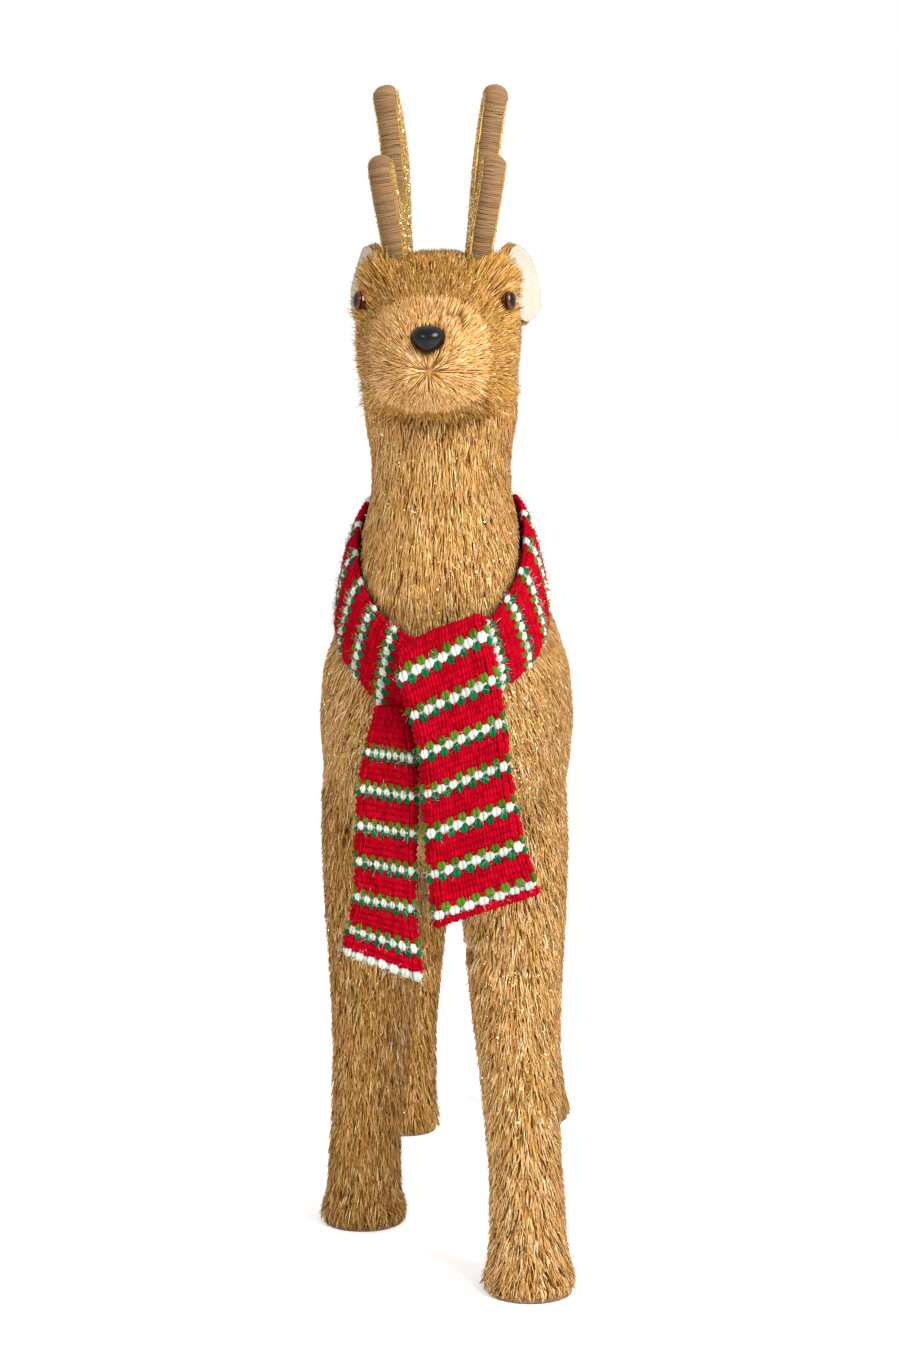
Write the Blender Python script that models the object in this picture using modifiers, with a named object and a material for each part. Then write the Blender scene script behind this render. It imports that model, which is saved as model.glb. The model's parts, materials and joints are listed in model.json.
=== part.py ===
"""Standing reindeer: straw bristle over a wired foam form, with jute-wound antlers and a knitted scarf.

Metres, Z up. The figure faces -Y, its left side is +X, and it stands on z = 0 under the middle of its box.
Each limb is a loft through a few oval stations. Its foam core is the same loft, drawn in by its straw.
"""

import math
from collections import namedtuple

import bmesh
import bpy
from mathutils import Matrix, Vector

# ---------------------------------------------------------------- driving dimensions
GAP = 0.0004  # clearance between pieces that touch
BODY_STRAW = 0.012  # thickness of the straw on the torso and neck
LEG_STRAW = 0.009
HEAD_STRAW = 0.009
SOLE_THICK = 0.003
SOLE_INSET = 0.0015  # the sole is this much smaller than the ring of straw round it
LEG_WIRE_RADIUS = 0.002
SPINE_WIRE_RADIUS = 0.0025
THIN_WIRE_RADIUS = 0.001
LEAST_CORE = 0.003  # half width below which a core is drawn in no further
LEFT, RIGHT = 1, -1  # the sign of X on each side

# A station is x, y, z of the middle, half width along X, and half depth along Y or half height along Z.
TORSO_STATIONS = (
    (0, -0.204, 0.358, 0.022, 0.034),
    (0, -0.191, 0.357, 0.049, 0.062),
    (0, -0.166, 0.356, 0.068, 0.083),
    (0, -0.127, 0.355, 0.080, 0.093),
    (0, -0.078, 0.353, 0.082, 0.092),
    (0, -0.005, 0.348, 0.078, 0.085),
    (0, 0.075, 0.346, 0.073, 0.081),
    (0, 0.145, 0.348, 0.071, 0.082),
    (0, 0.190, 0.351, 0.068, 0.077),
    (0, 0.225, 0.354, 0.056, 0.063),
    (0, 0.246, 0.356, 0.034, 0.040),
    (0, 0.252, 0.356, 0.016, 0.020),
)
NECK_STATIONS = (
    (0, -0.110, 0.372, 0.060, 0.064),
    (0, -0.120, 0.408, 0.069, 0.079),
    (0, -0.132, 0.450, 0.059, 0.068),
    (0, -0.141, 0.485, 0.048, 0.057),
    (0, -0.146, 0.514, 0.042, 0.050),
    (0, -0.150, 0.546, 0.048, 0.049),
    (0, -0.152, 0.575, 0.048, 0.046),
    (0, -0.152, 0.600, 0.043, 0.040),
)
HEAD_STATIONS = (
    (0, -0.270, 0.587, 0.017, 0.017),
    (0, -0.263, 0.588, 0.027, 0.026),
    (0, -0.249, 0.590, 0.0345, 0.033),
    (0, -0.232, 0.592, 0.0385, 0.037),
    (0, -0.215, 0.597, 0.0445, 0.043),
    (0, -0.195, 0.601, 0.0495, 0.049),
    (0, -0.170, 0.603, 0.0510, 0.052),
    (0, -0.145, 0.601, 0.0490, 0.051),
    (0, -0.122, 0.597, 0.0400, 0.043),
    (0, -0.109, 0.594, 0.0260, 0.028),
    (0, -0.104, 0.593, 0.0120, 0.013),
)
# A leg's stations are for the left side, standing straight before its stride is added.
FRONT_LEG_STATIONS = (
    (0.044, -0.118, 0.352, 0.030, 0.040),
    (0.045, -0.118, 0.305, 0.035, 0.045),
    (0.046, -0.119, 0.255, 0.0345, 0.042),
    (0.047, -0.121, 0.205, 0.0320, 0.036),
    (0.050, -0.124, 0.145, 0.0265, 0.028),
    (0.055, -0.127, 0.090, 0.0235, 0.0245),
    (0.058, -0.128, 0.035, 0.0245, 0.0255),
    (0.0595, -0.128, 0.000, 0.0285, 0.0300),
)
REAR_LEG_STATIONS = (
    (0.034, 0.166, 0.352, 0.034, 0.056),
    (0.035, 0.164, 0.300, 0.035, 0.060),
    (0.037, 0.162, 0.250, 0.0305, 0.050),
    (0.039, 0.178, 0.200, 0.0245, 0.035),
    (0.041, 0.199, 0.150, 0.0215, 0.0265),
    (0.045, 0.201, 0.095, 0.0195, 0.0205),
    (0.048, 0.202, 0.040, 0.0215, 0.0225),
    (0.050, 0.2025, 0.000, 0.0250, 0.0265),
)
# Each leg's stations, its side, and how far its hoof is set forward (-) or back (+), for a figure that walks.
LEGS = {
    "front_left": (FRONT_LEG_STATIONS, LEFT, -0.072),
    "front_right": (FRONT_LEG_STATIONS, RIGHT, 0.072),
    "rear_left": (REAR_LEG_STATIONS, LEFT, 0.020),
    "rear_right": (REAR_LEG_STATIONS, RIGHT, -0.020),
}
STRIDE_FROM = 0.300  # height at which a leg starts to lean

# ---------------------------------------------------------------- scene, materials and collections
COLOURS = {  # name: (colour, roughness, metallic)
    "straw": ((0.62, 0.42, 0.20), 0.75, 0.0),
    "foam": ((0.86, 0.84, 0.78), 0.90, 0.0),
    "steel_wire": ((0.45, 0.45, 0.46), 0.35, 1.0),
    "jute": ((0.50, 0.34, 0.20), 0.90, 0.0),
    "gold_glitter": ((0.72, 0.52, 0.16), 0.35, 0.9),
    "board": ((0.45, 0.35, 0.24), 0.85, 0.0),
    "peg_wood": ((0.62, 0.47, 0.30), 0.70, 0.0),
    "white_felt": ((0.88, 0.87, 0.82), 0.95, 0.0),
    "black_plastic": ((0.015, 0.015, 0.018), 0.15, 0.0),
    "amber": ((0.45, 0.12, 0.02), 0.08, 0.0),
    "knit": ((0.65, 0.03, 0.06), 0.95, 0.0),
}


def clear_scene():
    for obj in list(bpy.data.objects):
        bpy.data.objects.remove(obj)


def make_material(name):
    colour, roughness, metallic = COLOURS[name]
    material = bpy.data.materials.new(name)
    material.use_nodes = True
    shader = material.node_tree.nodes["Principled BSDF"]
    shader.inputs["Base Color"].default_value = (*colour, 1.0)
    shader.inputs["Roughness"].default_value = roughness
    shader.inputs["Metallic"].default_value = metallic
    return material


clear_scene()
MATERIALS = {name: make_material(name) for name in COLOURS}
PARTS = bpy.data.collections.new("straw_reindeer")
CUTTERS = bpy.data.collections.new("cutters")
for group in (PARTS, CUTTERS):
    bpy.context.scene.collection.children.link(group)


def add_empty(name, parent=None, place=None):
    """An empty that a group of pieces is placed by."""
    empty = bpy.data.objects.new(name, None)
    empty.empty_display_size = 0.02
    empty.parent = parent
    if place is not None:
        empty.matrix_local = place
    PARTS.objects.link(empty)
    return empty


FIGURE = add_empty("figure")


# ---------------------------------------------------------------- helpers for objects
def add_part(name, data, material, origin=(0, 0, 0), parent=FIGURE):
    """A named piece. A mesh given in its parent's coordinates is moved so that origin is its own zero."""
    obj = bpy.data.objects.new(name, data)
    if isinstance(data, bpy.types.Mesh):
        data.transform(Matrix.Translation(-Vector(origin)))
        obj.location = origin
    data.materials.append(MATERIALS[material])
    obj.parent = parent
    PARTS.objects.link(obj)
    return obj


def add_cutter(name, mesh, parent=FIGURE):
    """A helper that only cuts or joins other pieces."""
    obj = bpy.data.objects.new("cut_" + name, mesh)
    obj.display_type = "WIRE"
    obj.hide_render = True
    obj.parent = parent
    CUTTERS.objects.link(obj)
    return obj


def combine(obj, cutter, operation):
    modifier = obj.modifiers.new(operation.lower() + " " + cutter.name, "BOOLEAN")
    modifier.operation = operation
    modifier.solver = "EXACT"
    modifier.object = cutter


def cut(obj, *cutters):
    for cutter in cutters:
        combine(obj, cutter, "DIFFERENCE")


def thicken(obj, thickness):
    """Give a sheet its thickness, half to each side."""
    shell = obj.modifiers.new("thickness", "SOLIDIFY")
    shell.thickness = thickness
    shell.offset = 0


# ---------------------------------------------------------------- helpers for shapes
def finished(bm, name, smooth_angle=40):
    """The mesh of bm, its faces pointing out and its round stretches shaded smooth."""
    bmesh.ops.recalc_face_normals(bm, faces=bm.faces)
    mesh = bpy.data.meshes.new(name)
    bm.to_mesh(mesh)
    bm.free()
    mesh.shade_smooth()
    mesh.set_sharp_from_angle(angle=math.radians(smooth_angle))
    return mesh


def between(stations, place):
    """The stations' values at a place along them, on a smooth curve that passes through every station."""
    last = len(stations) - 1
    i = min(int(place), last - 1)
    t = place - i
    near = (stations[max(i - 1, 0)], stations[i], stations[i + 1], stations[min(i + 2, last)])
    found = []
    for a, b, c, d in zip(*near):
        bend = (2 * a - 5 * b + 4 * c - d) * t**2 + (3 * b - a - 3 * c + d) * t**3
        found.append(0.5 * (2 * b + (c - a) * t + bend))
    return found


def evenly(stations, count):
    """Count sets of values, evenly spread along the stations."""
    return [between(stations, (len(stations) - 1) * k / (count - 1)) for k in range(count)]


def sheet(name, rows, closed=False, capped=False):
    """A skin over rows of points. Closed rows go all the way round, and caps shut the two ends."""
    bm = bmesh.new()
    grid = [[bm.verts.new(point) for point in row] for row in rows]
    for here, there in zip(grid, grid[1:]):
        for k in range(len(here) if closed else len(here) - 1):
            nxt = (k + 1) % len(here)
            bm.faces.new((here[k], here[nxt], there[nxt], there[k]))
    if capped:
        bm.faces.new(grid[0])
        bm.faces.new(grid[-1])
    return finished(bm, name)


# upright: the rings stand across Y instead of lying flat.
# turn: how far round the first corner is set, in steps, so that two skins share no edge where they cross.
# squareness: 2 is an oval, and more fills out its corners.
Limb = namedtuple("Limb", "stations sides rings upright turn squareness", defaults=(False, 0.0, 2.0))


def loft(name, limb, grow=0.0):
    """A closed skin over the limb's rings. Grow moves its sides and both its ends outwards."""
    rings = evenly(limb.stations, limb.rings)
    way = 1 if limb.upright else 2
    middle = (rings[0][way] + rings[-1][way]) / 2
    reach = abs(rings[0][way] - rings[-1][way]) / 2
    deep_way = Vector((0, 0, 1)) if limb.upright else Vector((0, 1, 0))
    rows = []
    for *centre, half_x, half_deep in rings:
        centre[way] = middle + (centre[way] - middle) * (reach + grow) / reach
        half_x = max(half_x + grow, LEAST_CORE)
        half_deep = max(half_deep + grow, LEAST_CORE)
        row = []
        for k in range(limb.sides):
            angle = 2 * math.pi * (k + limb.turn) / limb.sides
            across = fill_out(math.cos(angle), limb.squareness)
            deep = fill_out(math.sin(angle), limb.squareness)
            row.append(Vector(centre) + Vector((half_x * across, 0, 0)) + deep_way * half_deep * deep)
        rows.append(row)
    return sheet(name, rows, closed=True, capped=True)


def fill_out(value, squareness):
    return math.copysign(abs(value) ** (2 / squareness), value)


def curve_data(name, points, cyclic=False):
    curve = bpy.data.curves.new(name, "CURVE")
    add_spline(curve, points, cyclic)
    return curve


def add_spline(curve, points, cyclic):
    spline = curve.splines.new("POLY")
    spline.points.add(len(points) - 1)
    for spot, point in zip(spline.points, points):
        spot.co = (*point, 1)
    spline.use_cyclic_u = cyclic


def rod(name, points, radius):
    """A wire or peg along points, as a curve with closed ends."""
    curve = curve_data(name, points)
    curve.dimensions = "3D"
    curve.bevel_depth = radius
    curve.bevel_resolution = 2
    curve.use_fill_caps = True
    return curve


def plate(name, outlines, thickness):
    """A flat shape in its own XY plane. A second outline inside the first is a hole."""
    curve = curve_data(name, [(*point, 0) for point in outlines[0]], cyclic=True)
    for outline in outlines[1:]:
        add_spline(curve, [(*point, 0) for point in outline], True)
    curve.dimensions = "2D"
    curve.fill_mode = "BOTH"
    curve.extrude = thickness / 2
    return curve


def mesh_of(curve):
    """The curve's own shape as a mesh, with its caps welded on."""
    holder = bpy.data.objects.new(curve.name, curve)
    PARTS.objects.link(holder)
    graph = bpy.context.evaluated_depsgraph_get()
    mesh = bpy.data.meshes.new_from_object(holder.evaluated_get(graph))
    bpy.data.objects.remove(holder)
    bm = bmesh.new()
    bm.from_mesh(mesh)
    bpy.data.meshes.remove(mesh)
    bmesh.ops.remove_doubles(bm, verts=bm.verts, dist=1e-6)
    return finished(bm, curve.name)


def add_wire(name, points, radius, material="steel_wire", parent=FIGURE):
    """A wire, and the cutter that drills its hole, which is returned."""
    add_part(name, rod(name, points, radius), material, parent=parent)
    return add_cutter(name, mesh_of(rod("hole_" + name, points, radius + GAP)), parent)


TURN_STEPS = 14


def turned(name, profile):
    """A mesh of just the profile, given as (radius, height) pairs down its outer side."""
    mesh = bpy.data.meshes.new(name)
    points = [(radius, 0, height) for radius, height in profile]
    mesh.from_pydata(points, [(k, k + 1) for k in range(len(points) - 1)], [])
    return mesh


def spin(obj):
    """Turn a profile all the way round its own Z."""
    screw = obj.modifiers.new("turn", "SCREW")
    screw.steps = TURN_STEPS
    screw.render_steps = TURN_STEPS
    screw.use_merge_vertices = True
    screw.merge_threshold = 0.00001
    screw.use_smooth_shade = True


def facing(place, way):
    """Stands at place with its own Z along way."""
    return Matrix.Translation(place) @ way.to_track_quat("Z", "Y").to_matrix().to_4x4()


# ---------------------------------------------------------------- torso, neck and head
TORSO = Limb(TORSO_STATIONS, 20, 13, True, 0.0, 2.5)
NECK = Limb(NECK_STATIONS, 16, 9, False, 0.5, 2.2)
HEAD = Limb(HEAD_STATIONS, 18, 11, True, 0.0, 2.6)
cores, coats, outer_cut, core_cut = {}, {}, {}, {}


def add_limb(name, limb, straw):
    """The core and the straw coat of one limb, and the two cutters that keep other pieces clear of them."""
    origin = limb.stations[len(limb.stations) // 2][:3]
    cores[name] = add_part(name + "_core", loft(name + "_core", limb, -straw), "foam", origin)
    coats[name] = add_part(name + "_coat", loft(name + "_coat", limb), "straw", origin)
    outer_cut[name] = add_cutter(name, loft("cut_" + name, limb, GAP))
    core_cut[name] = add_cutter(name + "_core", loft("cut_core_" + name, limb, GAP - straw))
    cut(coats[name], core_cut[name])


add_limb("torso", TORSO, BODY_STRAW)
add_limb("neck", NECK, BODY_STRAW)
add_limb("head", HEAD, HEAD_STRAW)
cut(cores["neck"], core_cut["torso"], core_cut["head"])
cut(coats["neck"], outer_cut["torso"], outer_cut["head"])
cut(coats["torso"], core_cut["neck"])
cut(coats["head"], core_cut["neck"])

# ---------------------------------------------------------------- legs, with their wires and soles
LEG_SIDES, LEG_RINGS = 12, 9
WIRE_FROM = 0.014  # the leg wire starts this far above the floor
WIRE_TO = 0.335  # and ends inside the torso's core


def stepping(stations, side, stride):
    """One leg's own stations: on its side, and leaning with its stride."""
    placed = []
    for x, y, z, half_x, half_y in stations:
        lean = stride * max(0.0, 1 - z / STRIDE_FROM)
        placed.append((side * x, y + lean, z, half_x, half_y))
    return placed


def add_sole(name, foot):
    """The flat board under a hoof."""
    x, y, _, half_x, half_y = foot
    bm = bmesh.new()
    bmesh.ops.create_cone(bm, cap_ends=True, segments=24, radius1=1, radius2=1, depth=SOLE_THICK)
    bmesh.ops.scale(bm, vec=(half_x - SOLE_INSET, half_y - SOLE_INSET, 1), verts=bm.verts)
    bmesh.ops.translate(bm, vec=(x, y, SOLE_THICK / 2), verts=bm.verts)
    add_part(name + "_sole", finished(bm, name + "_sole"), "board", (x, y, 0))


def add_leg(name, stations, side, stride):
    placed = stepping(stations, side, stride)
    foot = placed[-1]
    add_sole(name, foot)
    placed[-1] = (*foot[:2], SOLE_THICK + GAP, *foot[3:])  # the straw and the core stop just above the sole
    limb = Limb(placed, LEG_SIDES, LEG_RINGS)
    hip = placed[0][:3]
    core = add_part(name + "_leg_core", loft(name + "_leg_core", limb, -LEG_STRAW), "foam", hip)
    coat = add_part(name + "_leg_coat", loft(name + "_leg_coat", limb), "straw", hip)
    hole = add_cutter(name + "_leg_core", loft("cut_" + name + "_leg", limb, GAP - LEG_STRAW))
    middle = [ring[:3] for ring in evenly(placed, LEG_RINGS) if WIRE_FROM < ring[2] < WIRE_TO]
    bore = add_wire(name + "_leg_wire", middle, LEG_WIRE_RADIUS)
    cut(core, core_cut["torso"], bore)
    cut(coat, hole, outer_cut["torso"])
    cut(coats["torso"], hole)
    cut(cores["torso"], bore)


for leg, (leg_stations, leg_side, leg_stride) in LEGS.items():
    add_leg(leg, leg_stations, leg_side, leg_stride)

# ---------------------------------------------------------------- spine wire and tail
SPINE = (
    (0, 0.190, 0.350),
    (0, 0.060, 0.345),
    (0, -0.060, 0.352),
    (0, -0.112, 0.385),
    (0, -0.134, 0.450),
    (0, -0.146, 0.520),
    (0, -0.152, 0.595),
)
SPINE_POINTS = 15
TAIL_WIRE = (
    (0, 0.2110, 0.3780),
    (0, 0.2460, 0.4100),
    (0, 0.2640, 0.4185),
)
TAIL_STATIONS = (  # from the rump to the tip
    (0, 0.2370, 0.4030, 0.0100, 0.009),
    (0, 0.2480, 0.4120, 0.0145, 0.012),
    (0, 0.2590, 0.4180, 0.0150, 0.012),
    (0, 0.2700, 0.4200, 0.0115, 0.009),
    (0, 0.2760, 0.4200, 0.0055, 0.004),
)


def add_spine():
    bore = add_wire("spine_wire", evenly(SPINE, SPINE_POINTS), SPINE_WIRE_RADIUS)
    for core in ("torso", "neck", "head"):
        cut(cores[core], bore)


def add_tail():
    bore = add_wire("tail_wire", TAIL_WIRE, THIN_WIRE_RADIUS)
    shape = loft("tail_tuft", Limb(TAIL_STATIONS, 12, 7, True))
    tuft = add_part("tail_tuft", shape, "straw", TAIL_STATIONS[0][:3])
    cut(tuft, outer_cut["torso"], bore)
    cut(coats["torso"], bore)
    cut(cores["torso"], bore)


add_spine()
add_tail()

# ---------------------------------------------------------------- nose and eyes
NOSE_STATIONS = (  # from the tip back into the muzzle
    (0, -0.2765, 0.5990, 0.0040, 0.0030),
    (0, -0.2750, 0.5990, 0.0080, 0.0058),
    (0, -0.2715, 0.5990, 0.0100, 0.0073),
    (0, -0.2670, 0.5985, 0.0098, 0.0070),
    (0, -0.2630, 0.5980, 0.0070, 0.0050),
)
NOSE = Limb(NOSE_STATIONS, 14, 7, True, 0.5)
STEM_START, STEM_END = (0, -0.2640, 0.598), (0, -0.2450, 0.5965)
STEM_RADIUS = 0.002
EYE_RADIUS = 0.0060
EYE_HEIGHT = 0.0045  # how far the dome stands out
EYE_AT = Vector((0.0462, -0.2135, 0.6225))
EYE_LOOKS = Vector((0.90, -0.42, 0.08))
EYE_PLATE = 0.0020  # thickness of the black back plate
EYE_STEM = 0.016  # how deep the stem goes
EYE_STEPS = 5


def add_nose():
    nose = add_part("nose", loft("nose", NOSE), "black_plastic", NOSE_STATIONS[-1][:3])
    stem = add_cutter("nose_stem", mesh_of(rod("nose_stem", (STEM_START, STEM_END), STEM_RADIUS)))
    combine(nose, stem, "UNION")
    room = add_cutter("nose", loft("cut_nose", NOSE, GAP))
    deeper = (*STEM_END[:1], STEM_END[1] + GAP, *STEM_END[2:])
    bore = add_cutter("nose_bore", mesh_of(rod("nose_bore", (STEM_START, deeper), STEM_RADIUS + GAP)))
    cut(coats["head"], room, bore)
    cut(cores["head"], room, bore)


def add_eye(name, side):
    """An amber dome on a black back plate whose stem is pushed into the foam."""
    place = Vector((side * EYE_AT.x, EYE_AT.y, EYE_AT.z))
    way = Vector((side * EYE_LOOKS.x, EYE_LOOKS.y, EYE_LOOKS.z))
    socket = add_empty(name + "_eye", FIGURE, facing(place, way))
    dome = []
    for k in range(EYE_STEPS):
        angle = math.pi / 2 * (1 - k / (EYE_STEPS - 1))
        dome.append((EYE_RADIUS * math.cos(angle), EYE_HEIGHT * math.sin(angle)))
    dome[0] = (0, EYE_HEIGHT)
    dome.append((0, 0))
    back = (
        (0, -GAP),
        (EYE_RADIUS, -GAP),
        (EYE_RADIUS, -EYE_PLATE),
        (STEM_RADIUS, -EYE_PLATE),
        (STEM_RADIUS, -EYE_STEM),
        (0, -EYE_STEM),
    )
    room = (
        (0, 3 * EYE_HEIGHT),
        (EYE_RADIUS + GAP, 3 * EYE_HEIGHT),
        (EYE_RADIUS + GAP, -EYE_PLATE - GAP),
        (STEM_RADIUS + GAP, -EYE_PLATE - GAP),
        (STEM_RADIUS + GAP, -EYE_STEM - GAP),
        (0, -EYE_STEM - GAP),
    )
    lens = add_part(name + "_eye_lens", turned("eye_lens", dome), "amber", parent=socket)
    plate_and_stem = add_part(name + "_eye_back", turned("eye_back", back), "black_plastic", parent=socket)
    hole = add_cutter(name + "_eye", turned("cut_eye", room), socket)
    for obj in (lens, plate_and_stem, hole):
        spin(obj)
    cut(coats["head"], hole)
    cut(cores["head"], hole)


add_nose()
add_eye("left", LEFT)
add_eye("right", RIGHT)

# ---------------------------------------------------------------- antlers
ANTLER_THICK = 0.0142
PANEL_THICK = 0.0012
WRAP_THICK = 0.0022
ANTLER_BASE = Vector((0.0245, -0.176, 0.6470))
ANTLER_LEAN = math.radians(8)  # outwards
ANTLER_TURN = math.radians(12)  # the rear edge is nearer the middle than the front edge
PEG_RADIUS = 0.0025
PEG = ((0.0005, -0.022, 0), (0.0005, 0.020, 0))
# The outline as (back, up) from the antler's base: up the brow tine, down to the fork, up the beam and back.
ANTLER = (
    (-0.0105, -0.001),
    (-0.0120, 0.018),
    (-0.0155, 0.036),
    (-0.0175, 0.052),
    (-0.0160, 0.061),
    (-0.0100, 0.0650),
    (-0.0040, 0.061),
    (-0.0020, 0.050),
    (0.0015, 0.038),
    (0.0055, 0.040),
    (0.0120, 0.055),
    (0.0165, 0.072),
    (0.0170, 0.090),
    (0.0150, 0.1030),
    (0.0200, 0.1090),
    (0.0280, 0.1085),
    (0.0325, 0.098),
    (0.0345, 0.080),
    (0.0320, 0.058),
    (0.0245, 0.036),
    (0.0160, 0.018),
    (0.0115, -0.001),
)
BACK_UP_OUT = Matrix(((0, 0, 1), (1, 0, 0), (0, 1, 0))).to_4x4()  # an antler's own X, Y and Z


def inset(outline, distance):
    """The antler's outline moved inwards."""
    moved = []
    for k, (back, up) in enumerate(outline):
        before, after = outline[k - 1], outline[(k + 1) % len(outline)]
        way = Vector((after[0] - before[0], after[1] - before[1])).normalized()
        moved.append((back + way.y * distance, up - way.x * distance))
    return moved


def add_antler(name, side):
    """A flat board wound with jute round its edge, with glitter on each face and a peg into the head."""
    lean = Matrix.Rotation(side * ANTLER_LEAN, 4, "Y")
    turn = Matrix.Rotation(side * ANTLER_TURN, 4, "Z")
    base = Matrix.Translation((side * ANTLER_BASE.x, ANTLER_BASE.y, ANTLER_BASE.z))
    antler = add_empty(name + "_antler", FIGURE, base @ lean @ turn @ BACK_UP_OUT)
    inside = inset(ANTLER, WRAP_THICK)
    board_outline = inset(ANTLER, WRAP_THICK + GAP)
    board_thick = ANTLER_THICK - 2 * (PANEL_THICK + GAP)
    board_shape = mesh_of(plate("board", [board_outline], board_thick))
    wrap_shape = mesh_of(plate("jute", [ANTLER, inside], ANTLER_THICK))
    board = add_part(name + "_antler_board", board_shape, "board", parent=antler)
    wrap = add_part(name + "_antler_jute", wrap_shape, "jute", parent=antler)
    for face, way in (("outer", side), ("inner", -side)):
        panel = plate(face, [board_outline], PANEL_THICK)
        part = add_part(f"{name}_antler_{face}_glitter", panel, "gold_glitter", parent=antler)
        part.location = (0, 0, way * (ANTLER_THICK - PANEL_THICK) / 2)
    bore = add_wire(name + "_antler_peg", PEG, PEG_RADIUS, "peg_wood", antler)
    room = mesh_of(plate("antler_room", [inset(ANTLER, -GAP)], ANTLER_THICK + 2 * GAP))
    cut(board, bore)
    cut(wrap, bore)
    cut(cores["head"], bore)
    cut(coats["head"], add_cutter(name + "_antler", room, antler), bore)


add_antler("left", LEFT)
add_antler("right", RIGHT)

# ---------------------------------------------------------------- ears
EAR_LENGTH = 0.062
EAR_HALF = 0.0255
EAR_CUP = 0.007  # how far the middle of the ear is drawn in
EAR_BACK_THICK = 0.0045
EAR_LINING_THICK = 0.0012
EAR_LINING_SIZE = 0.93
EAR_LINING_LIFT = 0.0039  # from the middle of the back to the middle of the lining
EAR_ROOT = Vector((0.0375, -0.158, 0.6420))
EAR_ALONG = Vector((0.33, 0.89, -0.28))
EAR_OPENS = Vector((0.943, -0.318, 0.104))
EAR_WIRE_END = Vector((0.018, -0.150, 0.616))
EAR_WIRE_BEND, EAR_WIRE_TIP = Vector((-0.002, 0, -0.001)), Vector((0.008, 0, -0.0015))
EAR_STEPS_ALONG, EAR_STEPS_ACROSS = 8, 4


def ear_frame(side):
    """Along the ear, across it, and out of its hollow."""
    flip = Vector((side, 1, 1))
    along = (EAR_ALONG * flip).normalized()
    across = (EAR_OPENS * flip).cross(along).normalized()
    turn = Matrix((along, across, along.cross(across))).transposed().to_4x4()
    return Matrix.Translation(EAR_ROOT * flip) @ turn


def leaf(name, size, lift):
    """A cupped leaf, lifted off the middle of the ear's back."""
    rows = []
    for i in range(EAR_STEPS_ALONG + 1):
        u = i / EAR_STEPS_ALONG
        width = 0.16 if i in (0, EAR_STEPS_ALONG) else 0.10 + 0.90 * math.sin(math.pi * u**0.85) ** 0.6
        row = []
        for j in range(EAR_STEPS_ACROSS + 1):
            v = 2 * j / EAR_STEPS_ACROSS - 1
            hollow = lift - EAR_CUP * (1 - v * v) * math.sin(math.pi * u)
            row.append(Vector((EAR_LENGTH * (0.5 + (u - 0.5) * size), v * width * size * EAR_HALF, hollow)))
        rows.append(row)
    return sheet(name, rows)


def add_ear(name, side):
    """A straw-covered back, a felt lining in its hollow, and the wire that holds them to the head."""
    frame = ear_frame(side)
    ear = add_empty(name + "_ear", FIGURE, frame)
    route = (EAR_WIRE_END * Vector((side, 1, 1)), frame @ EAR_WIRE_BEND, frame @ EAR_WIRE_TIP)
    bore = add_wire(name + "_ear_wire", route, THIN_WIRE_RADIUS)
    cut(cores["head"], bore)
    cut(coats["head"], bore)
    back_leaf = leaf("ear_back", 1, 0)
    lining_leaf = leaf("ear_lining", EAR_LINING_SIZE, EAR_LINING_LIFT)
    back = add_part(name + "_ear_back", back_leaf, "straw", parent=ear)
    lining = add_part(name + "_ear_lining", lining_leaf, "white_felt", parent=ear)
    thicken(back, EAR_BACK_THICK)
    thicken(lining, EAR_LINING_THICK)
    for part in (back, lining):
        cut(part, bore, outer_cut["head"])


add_ear("left", LEFT)
add_ear("right", RIGHT)

# ---------------------------------------------------------------- scarf
SCARF_THICK = 0.0075
TAIL_THICK = 0.0065
COLLAR_FRONT, COLLAR_BACK = 0.394, 0.485  # height of the band's middle at the chest and at the nape
COLLAR_SIDE_RISE = 0.0145  # how much higher it runs at the shoulders than a flat ring would
COLLAR_HALF, COLLAR_SIDE_HALF = 0.0165, 0.028  # half its height at the front and at the shoulders
COLLAR_STEPS, COLLAR_ROWS = 28, 2
SCARF_BED = (  # the oval that the band's inner face lies on, by height
    (0, -0.127, 0.366, 0.0690, 0.0810),
    (0, -0.128, 0.395, 0.0665, 0.0785),
    (0, -0.129, 0.420, 0.0630, 0.0755),
    (0, -0.133, 0.450, 0.0575, 0.0695),
    (0, -0.141, 0.485, 0.0495, 0.0590),
    (0, -0.146, 0.520, 0.0445, 0.0510),
)
# A hanging end's middle x, y, z, half width, and how much higher its left edge is, from the top down.
FRONT_TAIL = (
    (0.0045, -0.2080, 0.4235, 0.0280, 0.0030),
    (0.0050, -0.2150, 0.4275, 0.0284, 0.0035),
    (0.0060, -0.2220, 0.4170, 0.0286, 0.0050),
    (0.0096, -0.2235, 0.3920, 0.0284, 0.0075),
    (0.0153, -0.2225, 0.3550, 0.0258, 0.0085),
    (0.0202, -0.2195, 0.3150, 0.0262, 0.0085),
    (0.0256, -0.2175, 0.2800, 0.0277, 0.0090),
    (0.0324, -0.2165, 0.2480, 0.0307, 0.0105),
)
BACK_TAIL = (
    (-0.0255, -0.2105, 0.3730, 0.0080, 0.0000),
    (-0.0266, -0.2120, 0.3603, 0.0104, -0.0010),
    (-0.0277, -0.2125, 0.3397, 0.0148, -0.0020),
    (-0.0283, -0.2120, 0.3146, 0.0179, -0.0025),
    (-0.0289, -0.2105, 0.2831, 0.0188, -0.0030),
    (-0.0300, -0.2095, 0.2484, 0.0193, -0.0040),
    (-0.0311, -0.2085, 0.2134, 0.0250, -0.0080),
)
FRONT_PIVOT = (0.0045, -0.2080, 0.4235)
BACK_PIVOT = (-0.0255, -0.2095, 0.3730)
TAIL_COLUMNS = 4


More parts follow.
